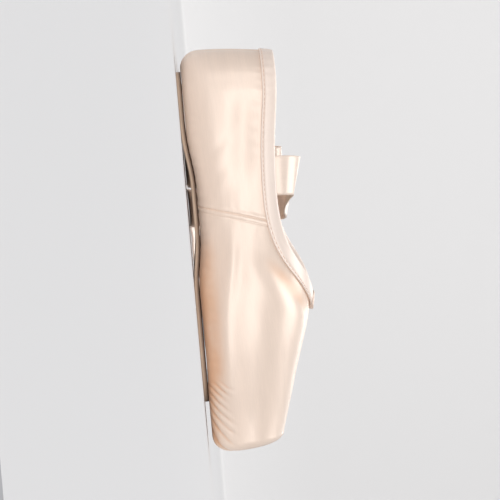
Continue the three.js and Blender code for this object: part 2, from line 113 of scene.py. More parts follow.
class ShoeColours(bpy.types.PropertyGroup):
    """Colours of the shoe's materials"""

    satin: colour("Satin", (0.96, 0.775, 0.645), "Peach pink satin of the shell")
    binding: colour("Binding", (0.96, 0.81, 0.71), "Paler satin of the binding")
    ribbon: colour("Ribbon", (0.96, 0.79, 0.67), "Satin of the ribbons")
    sole: colour("Sole", (0.96, 0.73, 0.55), "Suede leather of the outsole")
    # Nearly black upper edge of the outsole: dark wax, partly painted shade of the groove under the satin
    sole_edge: colour("Sole edge", (0.10, 0.045, 0.025), "Waxed upper edge of the outsole")
    lining: colour("Lining", (0.88, 0.81, 0.72), "Cotton lining")
    insole: colour("Insole", (0.86, 0.78, 0.69), "Cloth of the insole")
    thread: colour("Thread", (0.85, 0.62, 0.50), "Sewing thread")
    floor: colour("Floor", (0.765, 0.755, 0.75), "Floor and backdrop")


# Form of the last, the same tables as the solids have

def spline(xs, ys):
    """Natural cubic curve through a table's rows."""
    xs, ys = np.asarray(xs, float), np.asarray(ys, float)
    last = len(xs) - 1
    bend, load = np.zeros(last + 1), np.zeros(last + 1)
    for i in range(1, last):
        before, after = xs[i] - xs[i - 1], xs[i + 1] - xs[i]
        share = before / (before + after)
        pivot = share * bend[i - 1] + 2
        turn = (ys[i + 1] - ys[i]) / after - (ys[i] - ys[i - 1]) / before
        bend[i] = (share - 1) / pivot
        load[i] = (6 * turn / (before + after) - share * load[i - 1]) / pivot
    for i in range(last - 1, 0, -1):
        bend[i] = bend[i] * bend[i + 1] + load[i]

    def curve(x):
        x = np.asarray(x, float)
        i = np.clip(np.searchsorted(xs, x, side="left") - 1, 0, last - 1)
        span = xs[i + 1] - xs[i]
        b = (x - xs[i]) / span
        a = 1 - b
        sag = ((a**3 - a) * bend[i] + (b**3 - b) * bend[i + 1]) * span**2 / 6
        return a * ys[i] + b * ys[i + 1] + sag

    return curve


def ramp(x, start, end):
    """Smooth step from 0 at start to 1 at end."""
    t = np.clip((np.asarray(x, float) - start) / (end - start), 0, 1)
    return t**3 * (t * (t * 6 - 15) + 10)


def hump(x, middle, reach):
    """Smooth bump of height 1, which fades over its reach."""
    return np.exp(-(((x - middle) / reach) ** 2))


def window(x, start, end, soft):
    """1 between start and end, fading to 0 over soft on both sides."""
    return ramp(x, start, start + soft) * (1 - ramp(x, end - soft, end))


# Sections of the last, as shares: at, of the length; width, of the width that it follows; flat, of the half
# width; crown, of the throat height or of the tip's; belly, of the throat height; power is the squareness
SECTIONS = [
    {"at": 0, "width": 0.98, "of": "heel", "flat": 0.68, "crown": 1.38, "belly": 0.3, "power": 2.3},
    {"at": 0.12, "width": 1, "of": "heel", "flat": 0.67, "crown": 1.37, "belly": 0.3, "power": 2.3},
    {"at": 0.22, "width": 1.01, "of": "heel", "flat": 0.64, "crown": 1.34, "belly": 0.31, "power": 2.3},
    {"at": 0.32, "width": 0.73, "of": "ball", "flat": 0.57, "crown": 1.29, "belly": 0.33, "power": 2.3},
    {"at": 0.42, "width": 0.79, "of": "ball", "flat": 0.5, "crown": 1.19, "belly": 0.34, "power": 2.3},
    {"at": 0.5, "width": 0.88, "of": "ball", "flat": 0.51, "crown": 1.1, "belly": 0.35, "power": 2.3},
    {"at": 0.58, "width": 0.965, "of": "ball", "flat": 0.58, "crown": 1.03, "belly": 0.37, "power": 2.35},
    {"at": 0.65, "width": 1, "of": "ball", "flat": 0.64, "crown": 0.992, "belly": 0.37, "power": 2.4},
    {"at": 0.72, "width": 0.975, "of": "ball", "flat": 0.67, "crown": 0.93, "belly": 0.36, "power": 2.4},
    {"at": 0.79, "width": 0.9, "of": "ball", "flat": 0.67, "crown": 0.855, "belly": 0.35, "power": 2.4},
    {"at": 0.86, "width": 1.18, "of": "tip", "flat": 0.63, "crown": 1.18, "belly": 0.34, "power": 2.4},
    {"at": 0.92, "width": 1.07, "of": "tip", "flat": 0.58, "crown": 1.1, "belly": 0.345, "power": 2.4},
    {"at": 1, "width": 0.985, "of": "tip", "flat": 0.5, "crown": 0.985, "belly": 0.345, "power": 2.4},
]

# Topline: share of the length back from the throat, then its height or the width of the opening
TOPLINE = [
    {"back": 0.64, "height": 1, "of": "heel"},
    {"back": 0.54, "height": 0.99, "of": "heel"},
    {"back": 0.42, "height": 1.03, "of": "waist"},
    {"back": 0.3, "height": 1, "of": "waist"},
    {"back": 0.2, "height": 1.03, "of": "waist"},
    {"back": 0.11, "width": 0.67},
    {"back": 0.07, "width": 0.53},
    {"back": 0.04, "width": 0.37},
    {"back": 0.018, "width": 0.21},
    {"back": 0.005, "width": 0.09},
    {"back": 0, "width": 0},
]

# Stations along the sole, as shares of the length
HEEL_SEAT_END, ARCH_START, ARCH_END, BALL_START, BOX_START = 0.17, 0.35, 0.43, 0.6, 0.82
PLATFORM_LEAN = math.radians(5)
FLAT, CORNER, SIDE = 0, 1, 2


class Last:
    """The form that the shoe is made on, in metres, with x from the back of the heel."""

    def __init__(self, s):
        self.s = s
        self.heel_round = s.heel_width / 2
        self.throat = LENGTH - s.vamp_length
        self.under = s.sole_thickness + s.gap
        self.rise = self.under + s.tip_sole_radius
        tip_top = self.rise + s.platform_depth + s.tip_vamp_radius
        widths = {"heel": s.heel_width, "ball": s.ball_width, "tip": s.platform_width + 2 * s.tip_side_radius}
        at = [row["at"] * LENGTH for row in SECTIONS]
        self.half = spline(at, [row["width"] * widths[row["of"]] / 2 for row in SECTIONS])
        self.flat = spline(at, [row["flat"] for row in SECTIONS])
        tops = [tip_top if row["of"] == "tip" else s.throat_height for row in SECTIONS]
        self.crown = spline(at, [row["crown"] * top for row, top in zip(SECTIONS, tops)])
        self.belly = spline(at, [row["belly"] * s.throat_height for row in SECTIONS])
        self.power = spline(at, [row["power"] for row in SECTIONS])
        heights = {"heel": s.heel_height, "waist": s.waist_height}
        back = [max(0, self.throat - row["back"] * LENGTH) for row in TOPLINE]
        angles = []
        for x, row in zip(back, TOPLINE):
            power, half, _, crown, belly, _ = (float(v) for v in self.section(x))
            if "height" in row:
                share = (row["height"] * heights[row["of"]] - belly) / (crown - belly)
                angles.append(math.asin(min(1, share ** (power / 2))))
            else:
                share = row["width"] * s.ball_width / 2 / half
                angles.append(math.acos(min(1, share ** (power / 2))))
        self.top_angle = spline(back, angles)

    def underside(self, x):
        up = ramp(x, HEEL_SEAT_END * LENGTH, ARCH_START * LENGTH)
        down = ramp(x, ARCH_END * LENGTH, BALL_START * LENGTH)
        return self.under + self.s.arch_rise * (up - down)

    def section(self, x):
        power = self.power(x)
        behind = np.maximum(0, 1 - np.asarray(x, float) / self.heel_round)
        half = self.half(x) * np.maximum(0, 1 - behind**power) ** (1 / power)
        return power, half, half * self.flat(x), self.crown(x), self.belly(x), self.underside(x)

    def warped(self, p):
        """Leans the back of the heel in, rounds it under, and leans the platform back."""
        s = self.s
        fade = np.maximum(0, 1 - p[..., 0] / (LENGTH / 4)) ** 2
        above = p[..., 2] - self.under
        under = np.maximum(0, s.heel_corner - above)
        corner = s.heel_corner - np.sqrt(np.maximum(0, s.heel_corner**2 - under**2))
        rise = np.maximum(0, above - s.heel_corner) / (s.heel_height - self.under - s.heel_corner)
        lean = ramp(p[..., 0], BOX_START * LENGTH, LENGTH) * math.tan(PLATFORM_LEAN)
        out = p.copy()
        out[..., 0] += fade * (corner + s.heel_lean * rise**2) - lean * (p[..., 2] - self.rise)
        return out

    def wall(self, x):
        s = self.s
        thick = ramp(x, self.throat + 2 * s.binding_width, BOX_START * LENGTH)
        return s.quarter_wall + (s.box_wall - s.quarter_wall) * thick

    def opening(self, x):
        """Half width of the opening under the foot."""
        start, end = self.heel_round, LENGTH - self.s.sole_end - 2 * self.s.lasting_margin
        inside = np.clip(np.minimum((x - start), (end - x)) / (self.s.ball_width / 5), 0, 1)
        flat = self.section(x)[2]
        return np.maximum(0, flat - self.s.lasting_margin) * np.sqrt(inside * (2 - inside))

    def points(self, x, zone, t):
        """Points of the last before its warp, and the outward direction across each section."""
        power, half, flat, crown, belly, under = self.section(x)
        bow = lambda share: np.maximum(0, share) ** (2 / power)
        edge = self.opening(x)
        side = zone == SIDE
        top = np.where(x < self.throat, self.top_angle(np.minimum(x, self.throat)), math.pi / 2)
        angle = t * np.where(side, top, math.pi / 2)
        across = bow(np.where(side, np.cos(angle), np.sin(angle)))
        up = bow(np.where(side, np.sin(angle), np.cos(angle)))
        reach = np.where(side, half, half - flat)
        height = np.where(side, crown - belly, under - belly)
        y = np.where(zone == FLAT, edge + (flat - edge) * t, half - reach + reach * across)
        z = np.where(zone == FLAT, under, belly + height * up)
        out_y = np.where(zone == FLAT, 0, across ** (power - 1) * np.abs(height))
        out_z = np.where(zone == FLAT, -1, up ** (power - 1) * reach * np.where(side, 1, -1))
        out = np.stack([np.zeros_like(out_y), out_y, out_z], -1)
        out /= np.maximum(np.linalg.norm(out, axis=-1, keepdims=True), 1e-9)
        return np.stack(np.broadcast_arrays(x, y, z), -1), out

    def tip_radius(self, zone, t):
        s = self.s
        start = np.where(zone == CORNER, s.tip_sole_radius, s.tip_side_radius)
        end = np.where(zone == CORNER, s.tip_side_radius, s.tip_vamp_radius)
        turned = start + (end - start) * t * t * (3 - 2 * t)
        return np.where(zone == FLAT, s.tip_sole_radius, turned)

    def unwarped_x(self, p):
        """Stations of points before the warp."""
        found = p.copy()
        for _ in range(5):
            found[..., 0] += p[..., 0] - self.warped(found)[..., 0]
        return found[..., 0]

    def outside(self, p):
        """0 on the upper half of the last's surface, and more outside it."""
        x = self.unwarped_x(p)
        power, crown, belly = self.power(x), self.crown(x), self.belly(x)
        behind = np.maximum(0, 1 - x / self.heel_round)
        rise = np.maximum(0, (p[..., 2] - belly) / (crown - belly))
        return (np.abs(p[..., 1]) / self.half(x)) ** power - (1 - behind**power) * (1 - rise**power)

    def slope(self, p):
        """Direction in which a point leaves the surface fastest."""
        step = 5e-5
        parts = []
        for axis in np.eye(3):
            parts.append((self.outside(p + axis * step) - self.outside(p - axis * step)) / (2 * step))
        return np.stack(parts, -1)

    def onto(self, p):
        """Points moved onto the surface."""
        for _ in range(5):
            slope = self.slope(p)
            p = p - slope * (self.outside(p) / (slope**2).sum(-1))[..., None]
        return p

    def topline(self, count):
        """Closed loop of the topline, in even steps."""
        turn = np.linspace(0, math.pi, count)
        x = self.throat * (1 - np.cos(turn)) / 2
        edge, _ = self.points(x, np.full(count, SIDE), np.ones(count))
        right = self.warped(edge)
        left = right[1:-1][::-1] * [1, -1, 1]
        return self.onto(evenly(np.vstack([right, left]), 2 * count, closed=True))


def unit(v):
    return v / np.maximum(np.linalg.norm(v, axis=-1, keepdims=True), 1e-12)


def run_along(line):
    """Distance from the start of a line to each of its points."""
    return np.concatenate([[0], np.cumsum(np.linalg.norm(np.diff(line, axis=0), axis=1))])


def sampled(at, run, rows):
    """Rows of three numbers, given at the distances run, read at other distances."""
    return np.stack([np.interp(at, run, rows[:, k]) for k in range(3)], -1)


def evenly(points, count, closed=False):
    """The same line with its points at equal steps."""
    line = np.vstack([points, points[:1]]) if closed else points
    run = run_along(line)
    at = np.linspace(0, run[-1], count + 1)[:-1] if closed else np.linspace(0, run[-1], count)
    return sampled(at, run, line)


# Shaders

class Value:
    """A shader socket, which Python's own operators join into further maths nodes."""

    def __init__(self, shader, socket):
        self.shader = shader
        self.socket = socket

    def math(self, operation, *others):
        return self.shader.node("ShaderNodeMath", {"operation": operation}, dict(enumerate((self, *others))))

    def __add__(self, other):
        return self.math("ADD", other)

    def __sub__(self, other):
        return self.math("SUBTRACT", other)

    def __mul__(self, other):
        return self.math("MULTIPLY", other)

    def __rsub__(self, other):
        return self * -1 + other

    __radd__ = __add__
    __rmul__ = __mul__

    def between(self, start, end):
        """0 at start, 1 at end and smooth between."""
        values = {"Value": self, "From Min": start, "From Max": end}
        return self.shader.node("ShaderNodeMapRange", {"interpolation_type": "SMOOTHSTEP"}, values)


class Shader:
    """The node tree of one material."""

    def __init__(self, name, **constants):
        self.material = bpy.data.materials.new(name)
        self.material.use_nodes = True
        self.tree = self.material.node_tree
        self.surface = self.tree.nodes["Principled BSDF"]
        for key, value in constants.items():
            self.surface.inputs[key.replace("_", " ")].default_value = value

    def node(self, kind, settings=None, values=None, output=0):
        made = self.tree.nodes.new(kind)
        for key, value in (settings or {}).items():
            setattr(made, key, value)
        for key, value in (values or {}).items():
            self.join(value, made.inputs[key])
        return Value(self, made.outputs[output])

    def join(self, value, socket):
        if isinstance(value, Value):
            self.tree.links.new(value.socket, socket)
        else:
            socket.default_value = value

    def feed(self, **values):
        for key, value in values.items():
            self.join(value, self.surface.inputs[key.replace("_", " ")])

    def attribute(self, name, output="Fac"):
        return self.node("ShaderNodeAttribute", {"attribute_name": name}, output=output)

    def place(self):
        return self.node("ShaderNodeTexCoord", output="Object")

    def noise(self, place, scale=1.0, detail=3.0, stretch=(1, 1, 1), roughness=0.5):
        """Noise in cycles a metre, each axis with its own stretch."""
        spread = self.node("ShaderNodeVectorMath", {"operation": "MULTIPLY"}, {0: place, 1: stretch})
        values = {"Vector": spread, "Scale": scale, "Detail": detail, "Roughness": roughness}
        return self.node("ShaderNodeTexNoise", {}, values)

    def mix(self, factor, a, b):
        """Colour a where the factor is 0, and colour b where it is 1."""
        factor_in, a_in, b_in, colour_out = 0, 6, 7, 2
        values = {factor_in: factor, a_in: a, b_in: b}
        return self.node("ShaderNodeMix", {"data_type": "RGBA"}, values, colour_out)

    def bump(self, height, distance):
        return self.node("ShaderNodeBump", {}, {"Height": height, "Distance": distance})


def rgba(value, gain=1.0):
    return (value[0] * gain, value[1] * gain, value[2] * gain, 1.0)


def satin(name, base, shine=0.35):
    """Satin: warp threads along the piece, soft long highlights, and dirt and painted shade where the piece is
    marked.
    """
    metal, nap_height = 0.2, 0.000016
    shader = Shader(name, Anisotropic=0.45, Sheen_Weight=0.1, Sheen_Roughness=0.4, Specular_IOR_Level=0.7,
                    Coat_Weight=0.22, Coat_Roughness=0.32)
    weave = shader.attribute("weave", "Vector")
    threads = shader.noise(weave, detail=1.0, stretch=(120, 1900, 1))
    ribs = shader.noise(weave, detail=0.0, stretch=(420, 2300, 1))
    bands = shader.noise(weave, stretch=(16, 190, 1))
    cloud = shader.noise(weave, stretch=(38, 60, 1), roughness=0.6)
    # Mask of dirt and of painted shade, given at each point by each piece
    soil_and_shade = shader.attribute("soil_and_shade")
    wear_and_shade = (soil_and_shade + (cloud - 0.5) * soil_and_shade * 1.2).between(0.05, 1.1)
    clean = shader.mix((bands * 0.6 + threads * 0.4).between(0.3, 0.7), rgba(base, 0.965), rgba(base, 1.02))
    # Brown peach that dirt and painted shade turn the satin to
    stain_and_shade = (base[0] * 0.93, base[1] * 0.7, base[2] * 0.52, 1.0)
    shader.feed(Base_Color=shader.mix(wear_and_shade, clean, stain_and_shade))
    shader.feed(Roughness=shine + (bands - 0.5) * 0.15 + (threads - 0.5) * 0.04 + wear_and_shade * 0.28)
    shader.feed(Metallic=metal - wear_and_shade * 0.18)
    shader.feed(Normal=shader.bump(threads * 0.5 + ribs * 0.5, nap_height))
    return shader.material


def leather(name, base, edge):
    """Suede leather with a short nap, darker and smoother where it is rubbed and where its edge has wax; that
    edge's dark colour is partly painted shade.
    """
    nap_height = 0.00012
    shader = Shader(name, Sheen_Weight=0.25, Sheen_Roughness=0.5)
    place = shader.place()
    nap = shader.noise(place, 900.0, 6.0, roughness=0.7)
    cloud = shader.noise(place, 60.0, 4.0, (0.5, 1, 1))
    rubbed = shader.attribute("soil_and_shade")
    waxed_edge_and_shade = shader.attribute("edge")
    grain = shader.mix(cloud.between(0.3, 0.7), rgba(base, 0.86), rgba(base, 1.08))
    tone = shader.mix((rubbed * (cloud + 0.4)).between(0.2, 0.9), grain, rgba(base, 0.55))
    shader.feed(Base_Color=shader.mix(waxed_edge_and_shade, tone, rgba(edge)))
    shader.feed(Roughness=0.82 - waxed_edge_and_shade * 0.2 - rubbed * 0.2 + (nap - 0.5) * 0.2)
    shader.feed(Normal=shader.bump(nap + cloud * 0.4, nap_height))
    return shader.material


def cloth(name, base, pitch=0.0007):
    """Plain woven cotton."""
    waves_a_unit, yarn_height = 3.2, 0.00008
    bands = {"wave_type": "BANDS", "wave_profile": "SIN"}
    shader = Shader(name, Sheen_Weight=0.1)
    place = shader.place()
    bent = {"Vector": place, "Scale": 1 / pitch / waves_a_unit, "Distortion": 0.6, "Detail": 1.0}
    warp, fill, weft = (
        shader.node("ShaderNodeTexWave", {**bands, "bands_direction": axis}, bent, "Fac") for axis in "XYZ")
    cloud = shader.noise(place, 45.0, 4.0)
    soil_and_shade = shader.attribute("soil_and_shade")
    wear_and_shade = (soil_and_shade * (cloud + 0.35)).between(0.1, 1.0)
    tone = shader.mix(cloud.between(0.25, 0.75), rgba(base, 0.92), rgba(base, 1.04))
    shader.feed(Base_Color=shader.mix(wear_and_shade, tone, rgba(base, 0.5)))
    shader.feed(Roughness=0.88 + (cloud - 0.5) * 0.1)
    shader.feed(Normal=shader.bump(warp + weft * 0.5 + fill * 0.5, yarn_height))
    return shader.material


def thread(name, base):
    """Twisted sewing thread."""
    shader = Shader(name, Sheen_Weight=0.2)
    twist = shader.noise(shader.place(), 2500.0, 2.0)
    shader.feed(Base_Color=shader.mix(twist, rgba(base, 0.85), rgba(base, 1.05)))
    shader.feed(Roughness=0.6 + twist * 0.2)
    return shader.material


# Meshes

def mesh_object(name, points, faces, materials, attributes=None, second=None, stands_for=()):
    """A smooth mesh from points and faces, riding on the shoe; second lists the faces of material two."""
    mesh = bpy.data.meshes.new(name)
    mesh.from_pydata(np.asarray(points).tolist(), [], faces)
    for material in materials:
        mesh.materials.append(material)
    if second is not None:
        mesh.polygons.foreach_set("material_index", np.asarray(second, dtype=np.int32))
    for key, values in (attributes or {}).items():
        values = np.asarray(values, dtype=np.float32)
        vector = values.ndim == 2
        made = mesh.attributes.new(key, "FLOAT_VECTOR" if vector else "FLOAT", "POINT")
        made.data.foreach_set("vector" if vector else "value", values.ravel())
    mesh.shade_smooth()
    mesh.update()
    made = bpy.data.objects.new(name, mesh)
    bpy.context.scene.collection.objects.link(made)
    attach(made, "root")
    if stands_for:
        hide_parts(*stands_for)
    return made


def strip_faces(rings, size, around=True):
    """Quads that skin rings of points; around joins each ring to itself."""
    faces = []
    for i in range(rings - 1):
        here, there = i * size, (i + 1) * size
        for k in range(size if around else size - 1):
            after = (k + 1) % size
            faces.append((here + k, there + k, there + after, here + after))
    return faces


def closed_strip(rings, size, turned=False, last_end=True):
    """Quads that skin closed rings, with a face over each end; turned where the rings run the other way."""
    faces = strip_faces(rings, size) + [tuple(range(size))]
    if last_end:
        faces.append(tuple(range((rings - 1) * size, rings * size))[::-1])
    return [face[::-1] for face in faces] if turned else faces


def merged(points, step):
    """Places of the points that are left when those in one step are one, and where each point went."""
    keys = np.round(points / step).astype(np.int64)
    _, first, index = np.unique(keys, axis=0, return_index=True, return_inverse=True)
    return first, index.ravel()


def tidied(faces, index):
    """Faces of merged points, without those that collapse."""
    kept = []
    for face in faces:
        corners = tuple(dict.fromkeys(int(index[corner]) for corner in face))
        if len(corners) > 2:
            kept.append(corners)
    return kept


def point_normals(points, faces):
    """Directions out of a mesh at its points."""
    normals = np.zeros_like(points)
    for size in (3, 4):
        ring = np.array([f for f in faces if len(f) == size])
        if not len(ring):
            continue
        a, b = points[ring[:, 2]] - points[ring[:, 0]], points[ring[:, -1]] - points[ring[:, 1]]
        area = np.cross(a, b)
        for k in range(size):
            np.add.at(normals, ring[:, k], area)
    return unit(normals)


def rough(points, scale, seed=0.0):
    """Smooth noise from -1 to 1 at each point."""
    shift = Vector((seed, seed * 1.7, seed * 0.6))
    return np.array([noise(Vector(p) * scale + shift) for p in points.tolist()])


def dressed(points):
    """Points of the last's frame, moved into the row's frame."""
    return points + [HEEL_X, 0, 0]


# Shell

# Columns of the shell beside its side seam, in millimetres from the heel
SEAM_COLUMNS = (
    {"start": 76, "end": 80.6, "step": 0.6},
    {"start": 80.6, "end": 88.6, "step": 0.27},
    {"start": 88.6, "end": 93, "step": 0.6},
)
FLAT_ROWS, CORNER_ROWS, SIDE_ROWS = 23, 24, 38
TIP_STEPS, PLATFORM_STEPS = 10, 9
SEAM_FOOT, SEAM_PULL = 0.084, 0.03
PLATFORM_EDGE = 0.004


def shell_stations(last, body_end):
    """Stations of the shell's columns, close together at the back tape and at the side seam."""
    power, half = float(last.power(0)), float(last.half(0))
    tape = np.array([0, 0.4, 0.8, 1.2, 1.8, 2.4, 3, 3.4, 3.8, 4.4, 5.4, *np.linspace(6.8, 20, 10)]) * MM
    heel = last.heel_round * (1 - (1 - (tape / half) ** power) ** (1 / power))
    quarter = {"start": heel[-1] / MM + 1.2, "end": 76, "step": 1.15}
    pleats_start = 0.184
    return np.concatenate([
        heel,
        *(np.arange(run["start"], run["end"], run["step"]) * MM for run in (quarter, *SEAM_COLUMNS)),
        np.linspace(0.0932, last.throat, 46),
        np.linspace(last.throat, pleats_start, 34)[1:],
        np.linspace(pleats_start, body_end, 46)[1:],
    ])


def shell_grid(last):
    """Half of the shell's outer face, by column and row: points, and distances along and around."""
    s = last.s
    body_end = LENGTH - s.tip_sole_radius
    stations = shell_stations(last, body_end)[:, None]
    zone = np.array([[FLAT] * FLAT_ROWS + [CORNER] * CORNER_ROWS + [SIDE] * SIDE_ROWS])
    share = np.concatenate([np.linspace(0, 1, FLAT_ROWS), np.linspace(0, 1, CORNER_ROWS + 1)[1:],
                            np.linspace(0, 1, SIDE_ROWS + 1)[1:]])[None]
    radius = last.tip_radius(zone, share)
    straight = stations + ramp(stations, BOX_START * LENGTH, body_end) * (s.tip_sole_radius - radius)
    near_seam = hump(straight, SEAM_FOOT, SEAM_PULL) * ramp(straight, last.heel_round, 2 * last.heel_round)
    x = straight
    for _ in range(3):
        body, _ = last.points(x, zone, share)
        x = straight + (side_seam_x(body[..., 2]) - SEAM_FOOT) * near_seam
    columns, along = [last.warped(body)], [x]
    turns = np.linspace(0, math.pi / 2, TIP_STEPS + 1)[1:]
    for turn in turns:
        at = LENGTH - radius
        edge, out = last.points(at, zone, share)
        edge = edge + out * (radius * (math.cos(turn) - 1))[..., None]
        edge[..., 0] += radius * math.sin(turn)
        columns.append(last.warped(edge))
        along.append(at + radius * turn)
    rim = columns[-1]
    eased = smoothed_rim(rim[0])[None]
    for i, turn in enumerate(turns, 1):
        columns[i] = columns[i] + (eased - rim) * math.sin(turn) ** 2
    rim = columns[-1]
    middle = last.warped(np.array([[[LENGTH, 0, last.rise + s.platform_depth / 2]]]))
    for part in np.linspace(0, 1, PLATFORM_STEPS + 1)[1:]:
        columns.append(rim + (middle - rim) * part)
        along.append(along[-1] + np.linalg.norm(middle - rim, axis=-1) / PLATFORM_STEPS)
    points = np.concatenate(columns)
    around = np.cumsum(np.linalg.norm(np.diff(points, axis=1, prepend=points[:, :1]), axis=-1), axis=1)
    return points, np.concatenate(along), around - around[:, FLAT_ROWS - 1:FLAT_ROWS]


def smoothed_rim(rim):
    """Half of the platform's rim with its hollow corner eased out."""
    count, rounds = 240, 160
    whole = np.vstack([rim, (rim * [1, -1, 1])[::-1]])
    line = evenly(whole, count)
    for _ in range(rounds):
        line[1:-1] = line[1:-1] / 2 + (line[:-2] + line[2:]) / 4
    line[0, 2] = line[-1, 2] = (line[1, 2] + line[-2, 2]) / 2
    run = run_along(whole)
    return sampled(run[:len(rim)], np.linspace(0, run[-1], count), line)


def side_seam_x(z):
    """Station of the side seam at a height, further forward as it rises."""
    lean, height = 0.013, 0.05
    return SEAM_FOOT + lean * np.clip(z / height, 0, 1.2) ** 1.3


# Relief of the satin. Lengths are metres, x is the station and below the distance from the topline

# Folds beside the topline in millimetres: below it, their reach, their stations and how they fade
FOLDS = {
    "sag": {"below": 16.5, "reach": 7, "start": 12, "end": 84, "fade": 26},
    "wing": {"below": 12.8, "reach": 4.6, "start": 106, "end": 160, "fade": 22},
    "swell": {"below": 23, "reach": 6, "start": 104, "end": 160, "fade": 26},
}

# Creases of the waist: station and height of the foot in millimetres, rise towards the heel, depth as a share
CREASES = (
    {"start": 74, "height": 12, "lift": 0.9, "depth": 0.36},
    {"start": 92, "height": 10, "lift": 0.75, "depth": 0.4},
    {"start": 104, "height": 14, "lift": 0.5, "depth": 0.32},
    {"start": 56, "height": 15, "lift": 1.1, "depth": 0.28},
    {"start": 120, "height": 12, "lift": 0.4, "depth": 0.24},
)


def fold(name, x, below):
    row = {key: value * MM for key, value in FOLDS[name].items()}
    return hump(below, row["below"], row["reach"]) * window(x, row["start"], row["end"], row["fade"])


def waist_creases(x, z):
    """Soft creases at the waist, rising back from the sole, as shares of the crease depth."""
    depth = np.zeros_like(x)
    for row in CREASES:
        start, height = row["start"] * MM, row["height"] * MM
        off = z - height - row["lift"] * (start - x)
        depth += row["depth"] * hump(off, 0, 0.0042) * hump(x, start, 0.011)
    return depth * window(z, 0.006, 0.042, 0.008)


def side_seam(p, seam):
    """Groove between two ridges, a second row of stitching behind it, and the short tugs of the thread."""
    ridge, groove, row, tug = 0.00022, 0.0005, 0.0003, 0.00005
    ridges = hump(seam, -0.0014, 0.0009) + hump(seam, 0.0013, 0.0009)
    line = ridge * ridges - groove * hump(seam, 0, 0.0004) - row * hump(seam, 0.0029, 0.00045)
    tugs = np.sin(p[:, 2] * 1100 + 4 * rough(p, 110, 5)) * np.exp(-np.abs(seam) / 0.005)
    return line + tug * tugs * ramp(np.abs(seam), 0.0004, 0.0015)


def back_tape(x, y):
    """Tape down the back of the heel, with the back seam showing through it."""
    height, groove = 0.00035, 0.0003
    tape = 1 - ramp(np.abs(y), 0.0032, 0.0042)
    return (1 - ramp(x, 0.006, 0.016)) * (height * tape - groove * hump(y, 0, 0.0006))


def heel_gathers(p, below):
    """Fine gathers under the binding, round the heel."""
    height, turns_a_metre = 0.00015, 1500
    x, y, _ = p.T
    waves = np.sin((x * 0.55 + np.abs(y)) * turns_a_metre + 2.5 * rough(p, 90, 7))
    return height * waves * np.exp(-np.maximum(0, below - 0.007) / 0.005) * (1 - ramp(x, 0.045, 0.07))


def box_streak(x, z):
    """Long ridge along the side of the box, with a hollow on its sole side."""
    height = 0.0009
    crest = 0.0145 + 0.009 * (1 - ramp(x, 0.09, 0.165))
    ridge = hump(z, crest, 0.0036) - 0.75 * hump(z, crest - 0.0075, 0.0042)
    return height * ridge * window(x, 0.09, 0.207, 0.032)


def sole_drags(p, along):
    """Small drags where the satin turns under the sole."""
    height, turns_a_metre = 0.00011, 1050
    x, _, z = p.T
    under = hump(z, 0.0065, 0.0028) * window(x, 0.02, 0.2, 0.02)
    return height * under * np.sin(along * turns_a_metre + 3 * rough(p, 60, 11))


def tip_pleats(p):
    """Pleats fanned round the end of the sole: shares of their height and of the pits between them, which get
    painted shade.
    """
    x, y, z = p.T
    centre, pleats_a_turn = 0.177, 20
    spoke = np.arctan2(y, x - centre - 0.85 * np.maximum(0, z - 0.004))
    reach = np.hypot(y, x - centre)
    stray = rough(np.stack([spoke * 0.02, reach * 0.3, 0 * z], -1), 90, 13)
    crest = np.abs(np.sin(spoke * pleats_a_turn + 0.9 * stray))
    tall = 0.0128 + 0.0045 * rough(np.stack([spoke * 0.03, 0 * z, 0 * z], -1), 100, 17)
    low = 1 - ramp(z, tall - 0.003, tall + 0.0045)
    fan = low * ramp(x, 0.179, 0.187) * ramp(reach, 0.012, 0.018)
    return fan * (crest**0.55 - 0.75) * 1.25, fan * (1 - crest) ** 2


def shell_relief(s, p, along, below):
    """Height of the satin's seams, folds and pleats over the shell, and where dirt and painted shade darken
    it.
    """
    drape, cockle, wing_depth, swell_height, far_side = 0.00016, 0.00007, 0.001, 0.0004, 0.85
    x, y, z = p.T
    side = np.where(y < 0, 1.0, far_side)
    on_side = ramp(np.abs(y), 0.008, 0.014)
    clear = ramp(below, 0.0035, 0.0075)
    seam = x - side_seam_x(z)
    sag, wing, swell = (fold(name, x, below) for name in ("sag", "wing", "swell"))
    pleat, pit_shade = tip_pleats(p)
    relief = drape * rough(p * [0.45, 1, 1], 46) + cockle * rough(p * [0.4, 1, 1], 120, 3)
    relief += on_side * (side_seam(p, seam) + box_streak(x, z) * side)
    relief += back_tape(x, y) + heel_gathers(p, below) * clear
    relief -= side * (s.crease_depth * (sag + waist_creases(x, z)) + wing_depth * wing)
    relief += swell_height * swell + sole_drags(p, along) + s.pleat_height * pleat

    # Darker near the sole, at the toe, along the box's sole side and along the sole line: painted shade with
    # some dirt. The scuff and the platform are dirt.
    toe = (1 - ramp(z, 0.0035, 0.012)) * ramp(x, 0.15, 0.2)
    box_side = (1 - ramp(z, 0.006, 0.021)) * window(x, 0.085, 0.203, 0.035)
    sole_line = 1 - ramp(z, 0.003, 0.008)
    scuff = hump(x, 0.173, 0.008) * hump(z, 0.007, 0.0025)
    platform = ramp(x, LENGTH - PLATFORM_EDGE, LENGTH) * (0.16 + 0.2 * np.abs(rough(p, 130, 19)))
    soil_and_shade = 0.35 * toe + 0.66 * box_side + 0.25 * sole_line + 0.12 * scuff + platform
    # Painted shade in the pits between the pleats, in the side seam's groove, in the wing groove and in the
    # sag trough.
    soil_and_shade += 0.6 * pit_shade + 0.3 * hump(seam, 0, 0.0005) * on_side + 0.55 * wing + 0.16 * sag
    return relief * clear * np.where(x > LENGTH - PLATFORM_EDGE, 0.6, 1.0), np.clip(soil_and_shade, 0, 1)


def distances(points, line):
    """Distance of each point from the nearest point of a line."""
    tree = KDTree(len(line))
    for i, p in enumerate(line):
        tree.insert(p, i)
    tree.balance()
    return np.array([tree.find(p)[2] for p in points.tolist()])


